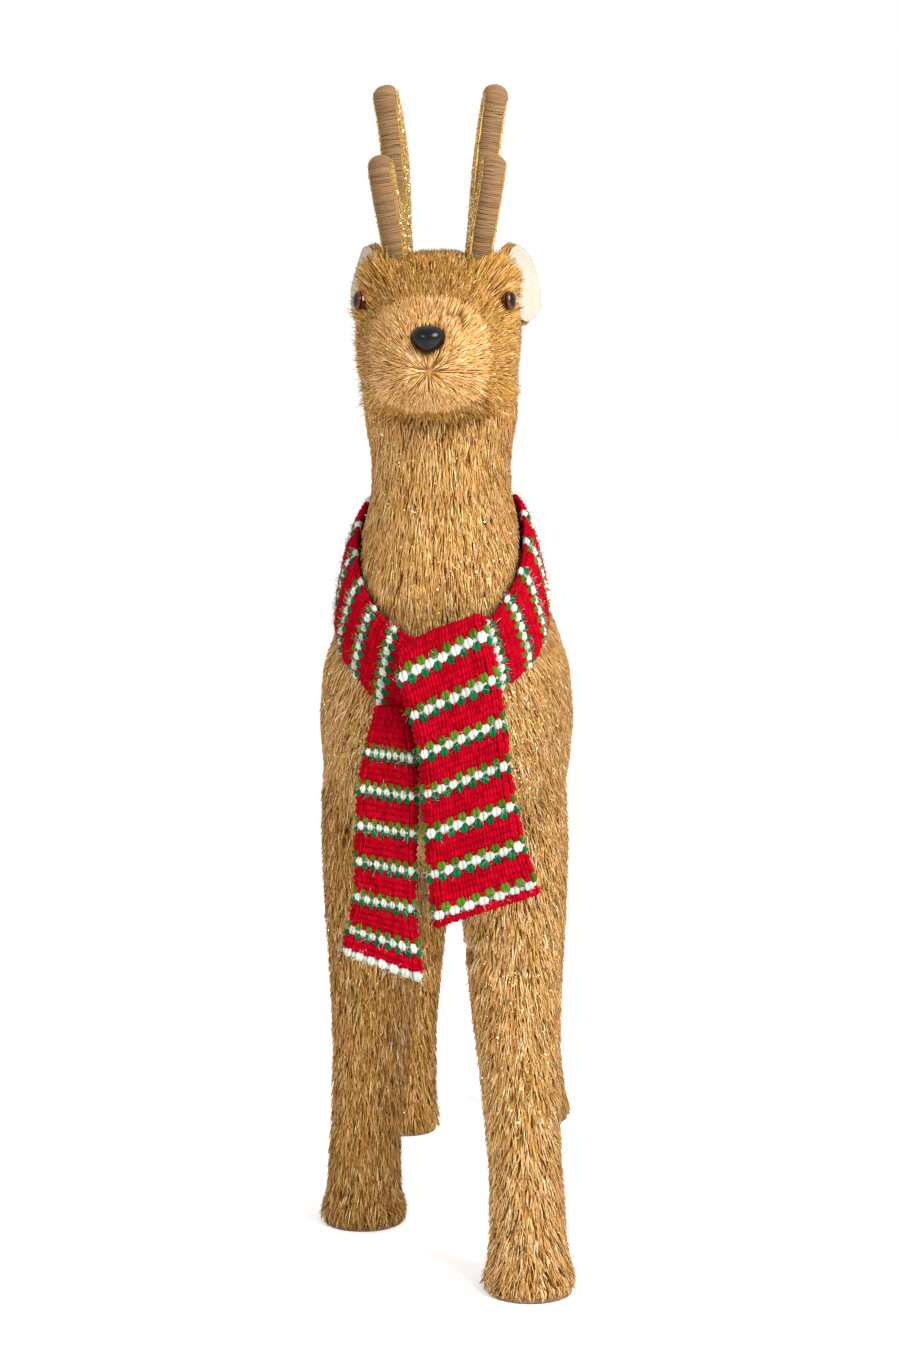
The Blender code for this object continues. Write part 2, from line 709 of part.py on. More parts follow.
def bed_point(height, angle, out):
    """A point of the scarf at that height and turn round the neck, that far out. Angle 0 is the chest."""
    heights = [station[2] for station in SCARF_BED]
    i = max(k for k in range(len(SCARF_BED) - 1) if heights[k] <= height)
    place = i + (height - heights[i]) / (heights[i + 1] - heights[i])
    _, y, _, half_x, half_y = between(SCARF_BED, place)
    return Vector(((half_x + out) * math.sin(angle), y - (half_y + out) * math.cos(angle), height))


def add_collar():
    """The band round the neck, low on the chest and high on the nape."""
    rows = []
    for row in range(COLLAR_ROWS + 1):
        ring = []
        for k in range(COLLAR_STEPS):
            angle = 2 * math.pi * k / COLLAR_STEPS
            side = math.sin(angle) ** 2
            middle = (COLLAR_FRONT + COLLAR_BACK) / 2 - (COLLAR_BACK - COLLAR_FRONT) / 2 * math.cos(angle)
            half = COLLAR_HALF + (COLLAR_SIDE_HALF - COLLAR_HALF) * side
            height = middle + COLLAR_SIDE_RISE * side + half * (2 * row / COLLAR_ROWS - 1)
            ring.append(bed_point(height, angle, SCARF_THICK / 2))
        rows.append(ring)
    collar = add_part("scarf_collar", sheet("scarf_collar", rows, closed=True), "knit", BACK_PIVOT)
    thicken(collar, SCARF_THICK)
    cut(collar, outer_cut["torso"], outer_cut["neck"])


def add_scarf_end(name, stations, count, pivot):
    """A hanging end of the scarf, with its origin where it swings."""
    rows = []
    for x, y, z, half, tilt in evenly(stations, count):
        spread = [2 * j / (TAIL_COLUMNS - 1) - 1 for j in range(TAIL_COLUMNS)]
        rows.append([Vector((x + v * half, y, z + v * tilt)) for v in spread])
    end = add_part(name, sheet(name, rows), "knit", pivot)
    thicken(end, TAIL_THICK)


add_collar()
add_scarf_end("scarf_front_tail", FRONT_TAIL, 15, FRONT_PIVOT)
add_scarf_end("scarf_back_tail", BACK_TAIL, 11, BACK_PIVOT)
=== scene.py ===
"""Looks for the standing straw reindeer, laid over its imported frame.

Metres, Z up. The figure faces -Y and its left side is +X. Every surface is grown from the frame's own nodes:
straws lie along the coats, twine is wound round the antlers, and the scarf is knitted stitch by stitch.
"""

import json
import math
from collections import namedtuple

import bmesh
import bpy
import numpy as np
from mathutils import Matrix, Vector
from mathutils.bvhtree import BVHTree


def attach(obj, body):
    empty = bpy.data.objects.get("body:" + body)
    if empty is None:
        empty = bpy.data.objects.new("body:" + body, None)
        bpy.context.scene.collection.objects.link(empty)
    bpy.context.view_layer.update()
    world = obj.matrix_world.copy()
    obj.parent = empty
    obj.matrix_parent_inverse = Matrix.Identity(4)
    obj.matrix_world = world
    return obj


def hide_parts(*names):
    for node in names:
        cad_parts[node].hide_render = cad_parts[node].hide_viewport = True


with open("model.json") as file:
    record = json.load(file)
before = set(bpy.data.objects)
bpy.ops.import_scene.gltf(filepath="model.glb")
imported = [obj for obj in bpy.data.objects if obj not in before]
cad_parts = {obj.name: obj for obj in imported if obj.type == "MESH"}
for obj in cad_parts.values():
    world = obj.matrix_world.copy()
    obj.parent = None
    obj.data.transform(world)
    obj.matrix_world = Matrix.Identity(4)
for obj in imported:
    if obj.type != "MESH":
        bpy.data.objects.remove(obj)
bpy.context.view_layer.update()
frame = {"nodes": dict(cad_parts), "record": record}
NODES = frame["nodes"]
RNG = np.random.default_rng(2412)
MM = 0.001
LEFT, RIGHT = 1, -1  # the sign of X on each side
SIDES = {"left": LEFT, "right": RIGHT}
TURN = 2 * math.pi
LEGS = ("front_left", "front_right", "rear_left", "rear_right")


# ---- camera, floor and light
CAMERA_AT = (0.1213, -1.9724, 0.585)
CAMERA_DOWN, CAMERA_TURN = math.radians(6.2), math.radians(3.63)
LENS, SENSOR = 76.75, 36  # millimetres
LIT = (0, -0.1, 0.55)  # the point that the lights face
FLOOR_SIZE = 40
FLOOR = {
    "Base Color": (0.94, 0.94, 0.94, 1),
    "Roughness": 0.9,
    "Specular IOR Level": 0.0,
    "Emission Color": (1, 1, 1, 1),
    "Emission Strength": 0.2,
}


def set_sockets(node, values):
    for socket, value in values.items():
        node.inputs[socket].default_value = value


def new_material(name):
    """A material, its node tree and its shader."""
    material = bpy.data.materials.new(name)
    material.use_nodes = True
    return material, material.node_tree, material.node_tree.nodes["Principled BSDF"]


def add_camera():
    data = bpy.data.cameras.new("camera")
    data.lens, data.sensor_width = LENS, SENSOR
    camera = bpy.data.objects.new("camera", data)
    camera.location = CAMERA_AT
    camera.rotation_euler = (math.pi / 2 - CAMERA_DOWN, 0, CAMERA_TURN)
    bpy.context.collection.objects.link(camera)
    bpy.context.scene.camera = camera


def add_area_light(name, place, size, power):
    data = bpy.data.lights.new(name, "AREA")
    data.size, data.energy = size, power
    light = bpy.data.objects.new(name, data)
    light.location = place
    light.rotation_euler = (Vector(LIT) - Vector(place)).to_track_quat("-Z", "Y").to_euler()
    bpy.context.collection.objects.link(light)


def add_surroundings():
    """A white floor that runs off to a white world, and soft light from the front."""
    world = bpy.data.worlds.new("white")
    world.use_nodes = True
    set_sockets(world.node_tree.nodes["Background"], {"Color": (1, 1, 1, 1), "Strength": 1.0})
    bpy.context.scene.world = world
    bpy.context.scene.view_settings.view_transform = "Standard"
    bpy.ops.mesh.primitive_plane_add(size=FLOOR_SIZE)
    floor = bpy.context.object
    floor.name = "floor"
    material, _, shader = new_material("floor")
    set_sockets(shader, FLOOR)
    floor.data.materials.append(material)
    add_area_light("key", (1.15, -1.1, 1.3), 0.9, 52)
    add_area_light("fill", (-0.9, -2.0, 1.3), 0.7, 13)


add_camera()
add_surroundings()


# ---- materials
def linear(colour):
    """An sRGB colour of 0 to 255 as linear light."""
    parts = [c / 255 for c in colour]
    return (*[c / 12.92 if c <= 0.04045 else ((c + 0.055) / 1.055) ** 2.4 for c in parts], 1.0)


# colours: one is the same all over, and more are spread by the noise. grain: size of the noise in metres.
# stretch: how much longer the grain is along X, Y and Z. rough: lowest and highest roughness. bump: its
# depth in metres.
Look = namedtuple("Look", "colours grain stretch rough bump metallic sockets", defaults=(0.0, {}))
NOISE = {"Scale": 1.0, "Detail": 4.0, "Roughness": 0.6}
NOISE_LOW, NOISE_HIGH = 0.3, 0.7  # where the noise reaches the lowest and the highest roughness
FIRST_STOP, STOP_SPAN = 0.32, 0.36  # where the noise takes the first colour, and how far on the last


def make_material(name, look):
    """Colour, roughness and bump that follow a noise in the object's own space."""
    material, tree, shader = new_material(name)
    kinds = ("TexCoord", "Mapping", "TexNoise", "MapRange", "Bump")
    place, mapping, noise, spread, bump = (tree.nodes.new("ShaderNode" + kind) for kind in kinds)

    def join(source, output, target, socket):
        tree.links.new(source.outputs[output], target.inputs[socket])

    set_sockets(mapping, {"Scale": [1 / (look.grain * s) for s in look.stretch]})
    set_sockets(noise, NOISE)
    low, high = look.rough
    set_sockets(spread, {"From Min": NOISE_LOW, "From Max": NOISE_HIGH, "To Min": low, "To Max": high})
    set_sockets(bump, {"Distance": look.bump})
    set_sockets(shader, {"Metallic": look.metallic, **look.sockets})
    join(place, "Object", mapping, "Vector")
    join(mapping, "Vector", noise, "Vector")
    join(noise, "Fac", spread, "Value")
    join(spread, "Result", shader, "Roughness")
    join(noise, "Fac", bump, "Height")
    join(bump, "Normal", shader, "Normal")
    if len(look.colours) == 1:
        set_sockets(shader, {"Base Color": linear(look.colours[0])})
        return material
    colours = tree.nodes.new("ShaderNodeValToRGB")
    stops = colours.color_ramp.elements
    while len(stops) < len(look.colours):
        stops.new(0.5)
    for k, colour in enumerate(look.colours):
        stops[k].position = FIRST_STOP + STOP_SPAN * k / (len(look.colours) - 1)
        stops[k].color = linear(colour)
    join(noise, "Fac", colours, "Fac")
    join(colours, "Color", shader, "Base Color")
    return material


def make_shades(prefix, shades, grain, stretch, rough, bump, sockets):
    """Materials that differ in their colour alone."""
    return {
        name: make_material(prefix + name, Look((shade,), grain, stretch, rough, bump, 0.0, sockets))
        for name, shade in shades.items()
    }


def specular(level):
    return {"Specular IOR Level": level}


EVEN = (1, 1, 1)
UPRIGHT = (1, 1, 9)
STRAW_SHADES = {
    "cream": (232, 206, 154),
    "pale": (213, 175, 114),
    "light": (203, 156, 91),
    "golden": (191, 137, 60),
    "pinkish": (202, 151, 103),
    "mid": (170, 121, 58),
    "olive": (152, 113, 40),
    "brown": (100, 62, 25),
}
KNIT_SHADES = {
    "red": (156, 2, 24),
    "deep_red": (141, 1, 19),
    "white": (188, 194, 184),
    "grey_white": (172, 180, 168),
    "green": (12, 92, 52),
    "deep_green": (9, 76, 42),
    "olive": (74, 106, 22),
    "deep_olive": (60, 88, 16),
}
JUTE_SHADES = {
    "light": (125, 96, 65),
    "mid": (118, 89, 59),
    "dark": (107, 80, 52),
}
CLOTH = specular(0.03)
STRAWS = make_shades("straw_", STRAW_SHADES, 0.0012, UPRIGHT, (0.45, 0.7), 0.0002, specular(0.12))
YARNS = make_shades("yarn_", KNIT_SHADES, 0.0007, EVEN, (0.85, 1.0), 0.0003, CLOTH)
TWINES = make_shades("jute_", JUTE_SHADES, 0.0005, EVEN, (0.75, 0.95), 0.0002, specular(0.2))
# the matted straw is darker than the loose straws: painted shade between them
MATTED_SHADE_HUES = ((110, 72, 29), (144, 99, 45), (170, 122, 60))
BOARD_HUES = ((70, 52, 34), (104, 80, 54), (126, 100, 70))
JUTE_HUES = ((104, 77, 50), (116, 87, 58), (125, 96, 65))
GOLD_HUES = ((128, 92, 26), (176, 136, 48), (206, 170, 84))
FELT_HUES = ((150, 143, 128), (160, 154, 140), (168, 163, 149))
LOOKS = {
    "matted_straw": Look(MATTED_SHADE_HUES, 0.0016, UPRIGHT, (0.7, 0.95), 0.0008),
    "foam": Look(((225, 222, 210), (242, 240, 232)), 0.003, EVEN, (0.75, 0.95), 0.0006),
    "steel_wire": Look(((120, 120, 124), (176, 176, 180)), 0.002, UPRIGHT, (0.25, 0.45), 0.0001, 1.0),
    "board": Look(BOARD_HUES, 0.002, EVEN, (0.75, 0.95), 0.0003),
    "black_plastic": Look(((3, 3, 5), (8, 8, 11)), 0.004, EVEN, (0.16, 0.26), 0.00003, 0.0, specular(0.22)),
    "jute": Look(JUTE_HUES, 0.0012, EVEN, (0.8, 0.95), 0.0004),
    "gold_glitter": Look(GOLD_HUES, 0.0007, EVEN, (0.25, 0.6), 0.0004, 0.7),
    "peg_wood": Look(((170, 128, 80), (206, 168, 116)), 0.001, UPRIGHT, (0.55, 0.8), 0.0002),
    "amber": Look(((46, 13, 4), (92, 34, 8)), 0.0015, EVEN, (0.05, 0.12), 0.00002, 0.0, specular(0.3)),
    "white_felt": Look(FELT_HUES, 0.0009, EVEN, (0.88, 1.0), 0.0003, 0.0, CLOTH),
    "cord": Look(((140, 106, 52), (166, 132, 76)), 0.0006, EVEN, (0.75, 0.95), 0.0002),
    "flake": Look(((222, 184, 92),), 0.0004, EVEN, (0.12, 0.35), 0.00005, 1.0),
    "pale_flake": Look(((244, 222, 160),), 0.0004, EVEN, (0.10, 0.30), 0.00005, 1.0),
}
MATERIALS = {name: make_material(name, look) for name, look in LOOKS.items()}


# ---- shapes as arrays of points and triangles
def unit(vectors):
    return vectors / np.maximum(np.linalg.norm(vectors, axis=-1, keepdims=True), 1e-9)


def dot(a, b):
    return np.sum(a * b, axis=-1, keepdims=True)


def across_of(vectors, normals):
    """The part of each vector that lies along the surface, as a unit vector."""
    return unit(vectors - dot(vectors, normals) * normals)


def mixed(low, high, share):
    return low + (high - low) * share


def ramp(values, start, end):
    """0 up to start, 1 from end on, and a smooth rise between."""
    share = np.clip((values - start) / (end - start), 0, 1)
    return share * share * (3 - 2 * share)


def skin_rings(points):
    """Closed skins over rings of points (tube, ring, corner, xyz), and the number of triangles in each."""
    count, rings, sides = points.shape[:3]
    index = np.arange(count * rings * sides).reshape(count, rings, sides)
    low, high = index[:, :-1], index[:, 1:]
    low_next, high_next = np.roll(low, -1, axis=2), np.roll(high, -1, axis=2)
    walls = np.stack([low, low_next, high_next, low, high_next, high], axis=-1).reshape(count, -1, 3)
    fan = np.arange(1, sides - 1)
    first = np.broadcast_to(index[:, 0, :1], (count, sides - 2))
    last = np.broadcast_to(index[:, -1, :1], (count, sides - 2))
    start = np.stack([first, index[:, 0, fan + 1], index[:, 0, fan]], axis=-1)
    end = np.stack([last, index[:, -1, fan], index[:, -1, fan + 1]], axis=-1)
    triangles = np.concatenate([walls, start, end], axis=1)
    return points.reshape(-1, 3), triangles.reshape(-1, 3), triangles.shape[1]


def tubes(paths, half_wide, half_high, up, sides):
    """Closed tubes, one along each row of paths (tube, ring, xyz)."""
    along = unit(np.gradient(paths, axis=1))
    across = unit(np.cross(along, np.broadcast_to(up, paths.shape)))
    top = np.cross(across, along)
    wide = np.broadcast_to(half_wide, paths.shape[:2])[:, :, None, None]
    high = np.broadcast_to(half_high, paths.shape[:2])[:, :, None, None]
    angles = TURN * (np.arange(sides) + 0.25) / sides
    cosines, sines = np.cos(angles)[:, None], np.sin(angles)[:, None]
    spokes = wide * cosines * across[:, :, None] + high * sines * top[:, :, None]
    return skin_rings(paths[:, :, None] + spokes)


def add_piece(name, points, triangles, materials, shades, body="figure", smooth=True):
    """A mesh piece that rides on a body. Each triangle
    takes the material that shades gives, by its place in materials."""
    mesh = bpy.data.meshes.new(name)
    mesh.vertices.add(len(points))
    mesh.vertices.foreach_set("co", np.asarray(points, np.float32).ravel())
    mesh.loops.add(3 * len(triangles))
    mesh.loops.foreach_set("vertex_index", np.asarray(triangles, np.int32).ravel())
    mesh.polygons.add(len(triangles))
    mesh.polygons.foreach_set("loop_start", np.arange(0, 3 * len(triangles), 3, dtype=np.int32))
    for material in materials:
        mesh.materials.append(material)
    shades = (np.zeros(len(triangles)) + shades).astype(np.int32)
    mesh.polygons.foreach_set("material_index", shades)
    mesh.polygons.foreach_set("use_smooth", np.full(len(triangles), smooth))
    mesh.update(calc_edges=True)
    piece = bpy.data.objects.new(name, mesh)
    bpy.context.collection.objects.link(piece)
    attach(piece, body)
    return piece


def add_tubes(name, paths, half_wide, half_high, up, sides, materials, shades, body="figure"):
    """One piece of many tubes, each of one shade."""
    points, triangles, each = tubes(paths, half_wide, half_high, up, sides)
    return add_piece(name, points, triangles, materials, np.repeat(shades, each), body)


def add_fibres(name, starts, ways, curl, length, radius, materials, shades, body="figure"):
    """Short loose fibres that stand off their starts and curl at their ends."""
    middles, tips = starts + 0.5 * length * ways, starts + length * unit(ways + curl)
    paths = np.stack([starts, middles, tips], axis=1)
    thin = np.full((1, 3), radius)
    return add_tubes(name, paths, thin, thin, curl[:, None], 3, materials, shades, body)


def grid_shell(outer, inner, closed):
    """A closed shell between two grids of points (row, column, xyz). Closed grids join their last row to
    the first."""
    rows, columns = outer.shape[:2]
    points = np.concatenate([outer.reshape(-1, 3), inner.reshape(-1, 3)])
    index = np.arange(rows * columns).reshape(rows, columns)
    here, there = (index, np.roll(index, -1, axis=0)) if closed else (index[:-1], index[1:])
    quads = np.stack([here[:, :-1], here[:, 1:], there[:, 1:], there[:, :-1]], axis=-1).reshape(-1, 4)
    shift = rows * columns
    edges = [np.stack([here[:, 0], there[:, 0]], -1), np.stack([there[:, -1], here[:, -1]], -1)]
    if not closed:
        edges.append(np.stack([index[0, 1:], index[0, :-1]], -1))
        edges.append(np.stack([index[-1, :-1], index[-1, 1:]], -1))
    rim = np.concatenate(edges)
    walls = np.stack([rim[:, 0], rim[:, 1], rim[:, 1] + shift, rim[:, 0] + shift], axis=-1)
    every = np.concatenate([quads, quads[:, ::-1] + shift, walls])
    triangles = np.concatenate([every[:, (0, 1, 2)], every[:, (0, 2, 3)]])
    return points, triangles, len(quads)


# ---- surfaces that straws and flakes are set on
def read(items, name, kind):
    """A property of every item, three numbers to a row."""
    values = np.empty(3 * len(items), kind)
    items.foreach_get(name, values)
    return values.reshape(-1, 3)


class Surface:
    """A mesh as arrays, with smooth normals and a search tree."""

    def __init__(self, mesh):
        mesh.calc_loop_triangles()
        self.points = read(mesh.vertices, "co", np.float64)
        self.triangles = read(mesh.loop_triangles, "vertices", np.int32)
        corners = self.points[self.triangles]
        crosses = np.cross(corners[:, 1] - corners[:, 0], corners[:, 2] - corners[:, 0])
        self.areas = np.linalg.norm(crosses, axis=1) / 2
        self.normals = np.zeros_like(self.points)
        for k in range(3):
            np.add.at(self.normals, self.triangles[:, k], crosses)
        self.normals = unit(self.normals)
        self.tree = BVHTree.FromPolygons(self.points.tolist(), self.triangles.tolist())

    def scatter(self, density):
        """Points spread evenly by area, at so many to the square metre, with their normals."""
        count = int(self.areas.sum() * density)
        chosen = RNG.choice(len(self.areas), count, p=self.areas / self.areas.sum())
        split = RNG.random((count, 2))
        split = np.where(split.sum(axis=1, keepdims=True) > 1, 1 - split, split)
        weights = np.stack([1 - split.sum(axis=1), split[:, 0], split[:, 1]], axis=1)[:, :, None]
        corners = self.triangles[chosen]
        places, ways = ((values[corners] * weights).sum(axis=1) for values in (self.points, self.normals))
        return places, unit(ways)

    def nearest(self, points):
        """The nearest places on the surface, their normals, and the triangles they are on."""
        found = [self.tree.find_nearest(point) for point in points.tolist()]
        places, normals = (np.array([f[k] for f in found]).reshape(-1, 3) for k in (0, 1))
        return places, normals, np.array([f[2] for f in found], dtype=int)

    def depth(self, points):
        """How far each point is outside the closed surface, and less than nothing inside it."""
        places, normals, _ = self.nearest(points)
        gaps = points - places
        return np.linalg.norm(gaps, axis=1) * np.sign(dot(gaps, normals)[:, 0])


def joined(names):
    """The nodes' meshes in one, and which node each of its triangles is from."""
    bm = bmesh.new()
    origin = []
    for k, name in enumerate(names):
        mesh = NODES[name].data
        mesh.calc_loop_triangles()
        origin += [k] * len(mesh.loop_triangles)
        bm.from_mesh(mesh)
    bmesh.ops.triangulate(bm, faces=bm.faces)
    mesh = bpy.data.meshes.new("joined")
    bm.to_mesh(mesh)
    bm.free()
    return mesh, np.array(origin)


def evaluated(obj):
    """The object's mesh with its modifiers applied. The object is removed."""
    graph = bpy.context.evaluated_depsgraph_get()
    mesh = bpy.data.meshes.new_from_object(obj.evaluated_get(graph))
    bpy.data.objects.remove(obj)
    return mesh


VOXEL = 0.004


def one_skin(names):
    """The nodes' outsides melted into one smooth skin."""
    mesh, _ = joined(names)
    blank = bpy.data.objects.new("blank", mesh)
    bpy.context.collection.objects.link(blank)
    remesh = blank.modifiers.new("skin", "REMESH")
    remesh.mode, remesh.voxel_size = "VOXEL", VOXEL
    smooth = blank.modifiers.new("smooth", "SMOOTH")
    smooth.factor, smooth.iterations = 0.5, 5
    return evaluated(blank)


# ---- straw
COATS = ["head_coat", "neck_coat", "torso_coat", "tail_tuft"] + [leg + "_leg_coat" for leg in LEGS]
CORES = ["head_core", "neck_core", "torso_core"] + [leg + "_leg_core" for leg in LEGS]
SCARF = ["scarf_collar", "scarf_front_tail", "scarf_back_tail"]
HARD = ["nose"] + [side + part for side in SIDES for part in ("_eye_lens", "_antler_jute", "_antler_board")]
MOUTH = np.array((0.0, -0.277, 0.579))  # the straws of the face lie away from here
HEAD_RINGS = {"muzzle": -0.254, "face": -0.206}  # where their straws end in a standing ring
RING_WIDTH, RING_LIFT = 0.016, 0.0050
RING_CUT = 0.0015  # the straws of a ring end this far behind it
RING_SHADOW_STRIP = 0.009  # the strip behind each ring, whose straws are painted darker as the shadow under it
CORNER_LIFT = 0.010  # how far the straws stand at the upper corners of the brow
JAW_LIFT = 0.0055  # and along the jaw
EYE_AT = np.array((0.0462, -0.2135, 0.6225))
LID_LIFT = 0.0045  # how far the straws round an eye stand up against it
HOOF_LIFT = 0.0042  # how far the straws spread at the end of a leg
UNDERLAY_DEPTH = 0.004
ROOT_DEPTH = 0.0045
HOOF_CUT = 0.0012  # the straws end flush, round the sole
MOST_STRAWS = 13500  # in one piece
CHEST_END, RUMP_START = -0.07, 0.10
MOST_YAW = 50  # degrees
BEND_AT = 0.45  # of a straw's length
SCARF_REACH = 0.004  # straws whose tips come this near the scarf lie flat under it
CLEAR = 0.0004  # between a straw and the eyes, nose and antlers
FLATNESS = 0.62  # a straw's thickness to its width


def head_flow(points):
    """Away from the mouth, then falling at the back of the head and along the jaw."""
    fall = 0.9 * ramp(points[:, 1:2], -0.20, -0.12) + 0.6 * ramp(-points[:, 2:3], -0.585, -0.55)
    return unit(points - MOUTH) - fall * (0, 0, 1)


def down_flow(points):
    return np.broadcast_to((0.0, 0.0, -1.0), points.shape)


def torso_flow(points):
    """Down the chest and outwards, then back along the flanks, and down again over the rump."""
    back = ramp(points[:, 1:2], -0.19, 0.02) * (1 - 0.7 * ramp(points[:, 1:2], 0.13, 0.23))
    outwards = points[:, 0:1] / 0.08 * (1 - back)
    return np.concatenate([0.45 * outwards, 0.1 + 0.9 * back, -1 + 0.55 * back], axis=1)


def tail_flow(points):
    return unit(np.broadcast_to((0.0, 1.0, -0.25), points.shape) + 6 * points * (1, 0, 0))


def head_lift(points):
    """How much further the straws stand off at the rings round the muzzle and the face, and over the eyes."""
    side, y, z = np.abs(points[:, 0:1]), points[:, 1:2], points[:, 2:3]
    lift = sum(RING_LIFT * ramp(y, ring - RING_WIDTH, ring) * (y < ring) for ring in HEAD_RINGS.values())
    corner = ramp(side, 0.018, 0.034) * ramp(z, 0.622, 0.638)
    lift = lift + CORNER_LIFT * corner * ramp(-y, 0.12, 0.15)
    jaw = ramp(-z, -0.585, -0.560) * ramp(side, 0.015, 0.035)
    from_eye = np.linalg.norm(np.abs(points) - np.abs(EYE_AT), axis=1, keepdims=True)
    lid = np.where(y < EYE_AT[1], 1.8, 0.8) * LID_LIFT
    return lift + JAW_LIFT * jaw + lid * (1 - ramp(from_eye, 0.009, 0.018))


def leg_lift(points):
    """The straws spread over the edge of the sole."""
    return HOOF_LIFT * (1 - ramp(points[:, 2:3], 0.008, 0.034))


def no_lift(points):
    return np.zeros((len(points), 1))


# density: straws to the square millimetre. length, half and lift (how far a tip stands off the skin) in
# millimetres. yaw: how far the straws stray from the flow, in degrees. mix: the share of each straw shade,
# in STRAW_SHADES' order. more: a further lift, by place.
Growth = namedtuple("Growth", "flow density length half lift yaw mix more", defaults=(no_lift,))
MUZZLE_MIX = (7, 17, 21, 12, 29, 9, 2, 3)
# painted shadow: the dark olive and brown straws of the strip behind a standing ring
RING_SHADOW_MIX = (0, 2, 6, 12, 4, 26, 26, 24)
CROWN_MIX = (1, 5, 10, 22, 4, 22, 24, 12)
NECK_MIX = (5, 17, 26, 18, 12, 13, 3, 6)
BODY_MIX = (9, 18, 19, 12, 14, 14, 4, 10)
# painted shade: the right legs, turned away from the key light, take darker straw shades
SHADED_SIDE_MIX = (5, 7, 10, 15, 8, 25, 14, 16)
GROWTHS = {
    "muzzle": Growth(head_flow, 1.00, 8, 0.24, (0.1, 0.5), 5, MUZZLE_MIX, head_lift),
    "ring": Growth(head_flow, 0.55, 8, 0.30, (0.1, 0.7), 8, RING_SHADOW_MIX, head_lift),
    "face": Growth(head_flow, 0.68, 9, 0.27, (0.2, 1.1), 7, CROWN_MIX, head_lift),
    "crown": Growth(head_flow, 0.52, 11, 0.30, (0.4, 1.9), 10, CROWN_MIX, head_lift),
    "neck": Growth(down_flow, 0.36, 14, 0.37, (0.2, 1.6), 8, NECK_MIX),
    "chest": Growth(torso_flow, 0.33, 14, 0.39, (0.3, 2.2), 12, BODY_MIX),
    "flanks": Growth(torso_flow, 0.28, 15, 0.42, (0.3, 2.2), 12, BODY_MIX),
    "rump": Growth(torso_flow, 0.28, 15, 0.42, (0.3, 2.2), 12, BODY_MIX),
    "tail": Growth(tail_flow, 0.42, 14, 0.38, (0.4, 3.5), 14, BODY_MIX),
    "left_leg": Growth(down_flow, 0.34, 13, 0.38, (0.3, 2.2), 10, BODY_MIX, leg_lift),
    "right_leg": Growth(down_flow, 0.34, 13, 0.38, (0.3, 2.6), 10, SHADED_SIDE_MIX, leg_lift),
    "ear": Growth(tail_flow, 0.55, 11, 0.30, (0.2, 1.6), 9, CROWN_MIX),
}

coat_mesh, coat_origin = joined(COATS)
coat_surface = Surface(coat_mesh)
skin = Surface(one_skin(COATS + CORES))
scarf_surface = Surface(joined(SCARF)[0])
hard_surface = Surface(joined(HARD)[0])


def regions_of(points):
    """The name of the coat under each point, with the head and the torso split further."""
    coats = np.array(COATS)[coat_origin[coat_surface.nearest(points)[2]]]
    names = np.char.replace(coats, "_leg_coat", "_leg").astype("U20")
    names[coats == "neck_coat"] = "neck"
    names[coats == "tail_tuft"] = "tail"
    torso, head, y = coats == "torso_coat", coats == "head_coat", points[:, 1]
    names[head] = "crown"
    names[head & (y < HEAD_RINGS["face"])] = "face"
    names[head & (y < HEAD_RINGS["muzzle"])] = "muzzle"
    # the strip behind each ring takes the darker straws of its painted shadow
    for ring in HEAD_RINGS.values():
        names[head & (y > ring) & (y < ring + RING_SHADOW_STRIP)] = "ring"
    names[torso] = "flanks"
    names[torso & (y < CHEST_END)] = "chest"
    names[torso & (y > RUMP_START)] = "rump"
    return names


def lay_straws(surface, roots, normals, flow, growth):
    """Root, bend and tip of each straw. It leaves the surface, follows the flow, and its tip stands proud."""
    count = len(roots)
    way = across_of(flow, normals)
    yaw = 0.75 * growth.yaw * RNG.standard_t(3, (count, 1))
    yaw = np.radians(np.clip(yaw, -MOST_YAW, MOST_YAW))
    way = way * np.cos(yaw) + np.cross(normals, way) * np.sin(yaw)
    length = growth.length * MM * np.clip(RNG.normal(1, 0.22, (count, 1)), 0.5, 1.6)
    bends, bend_normals, _ = surface.nearest(roots + BEND_AT * length * way)
    tips, tip_normals, _ = surface.nearest(roots + length * way)
    more = growth.more(roots) * RNG.uniform(0.5, 1.15, (count, 1))
    lift = MM * mixed(growth.lift[0], growth.lift[1], RNG.random((count, 1)) ** 1.6) + more
    bend_lift = MM * RNG.uniform(-1.2, 0.2, (count, 1)) + 0.5 * more
    near = scarf_surface.depth(tips)[:, None] < SCARF_REACH
    lift, bend_lift = np.where(near, -0.0025, lift), np.where(near, -0.003, bend_lift)
    start = roots - ROOT_DEPTH * normals
    return np.stack([start, bends + bend_lift * bend_normals, tips + lift * tip_normals], axis=1)


def cut_at_ring(paths, ring):
    """Straws that reach past the ring they belong to are cut off there."""
    past = np.maximum(paths[:, 2, 1] - ring - RING_CUT, 0)
    reach = np.maximum(paths[:, 2, 1] - paths[:, 1, 1], MM)
    paths[:, 2] += (paths[:, 1] - paths[:, 2]) * np.clip(past / reach, 0, 0.85)[:, None]
    return paths


def cut_flush(paths):
    """Straws that reach below the hoof's end are cut off there."""
    low = np.minimum(paths[:, 2, 2] - HOOF_CUT, 0)
    reach = np.maximum(paths[:, 1, 2] - paths[:, 2, 2], MM)
    paths[:, 2] += (paths[:, 1] - paths[:, 2]) * np.clip(-low / reach, 0, 0.9)[:, None]
    paths[:, :, 2] = np.maximum(paths[:, :, 2], HOOF_CUT)
    return paths


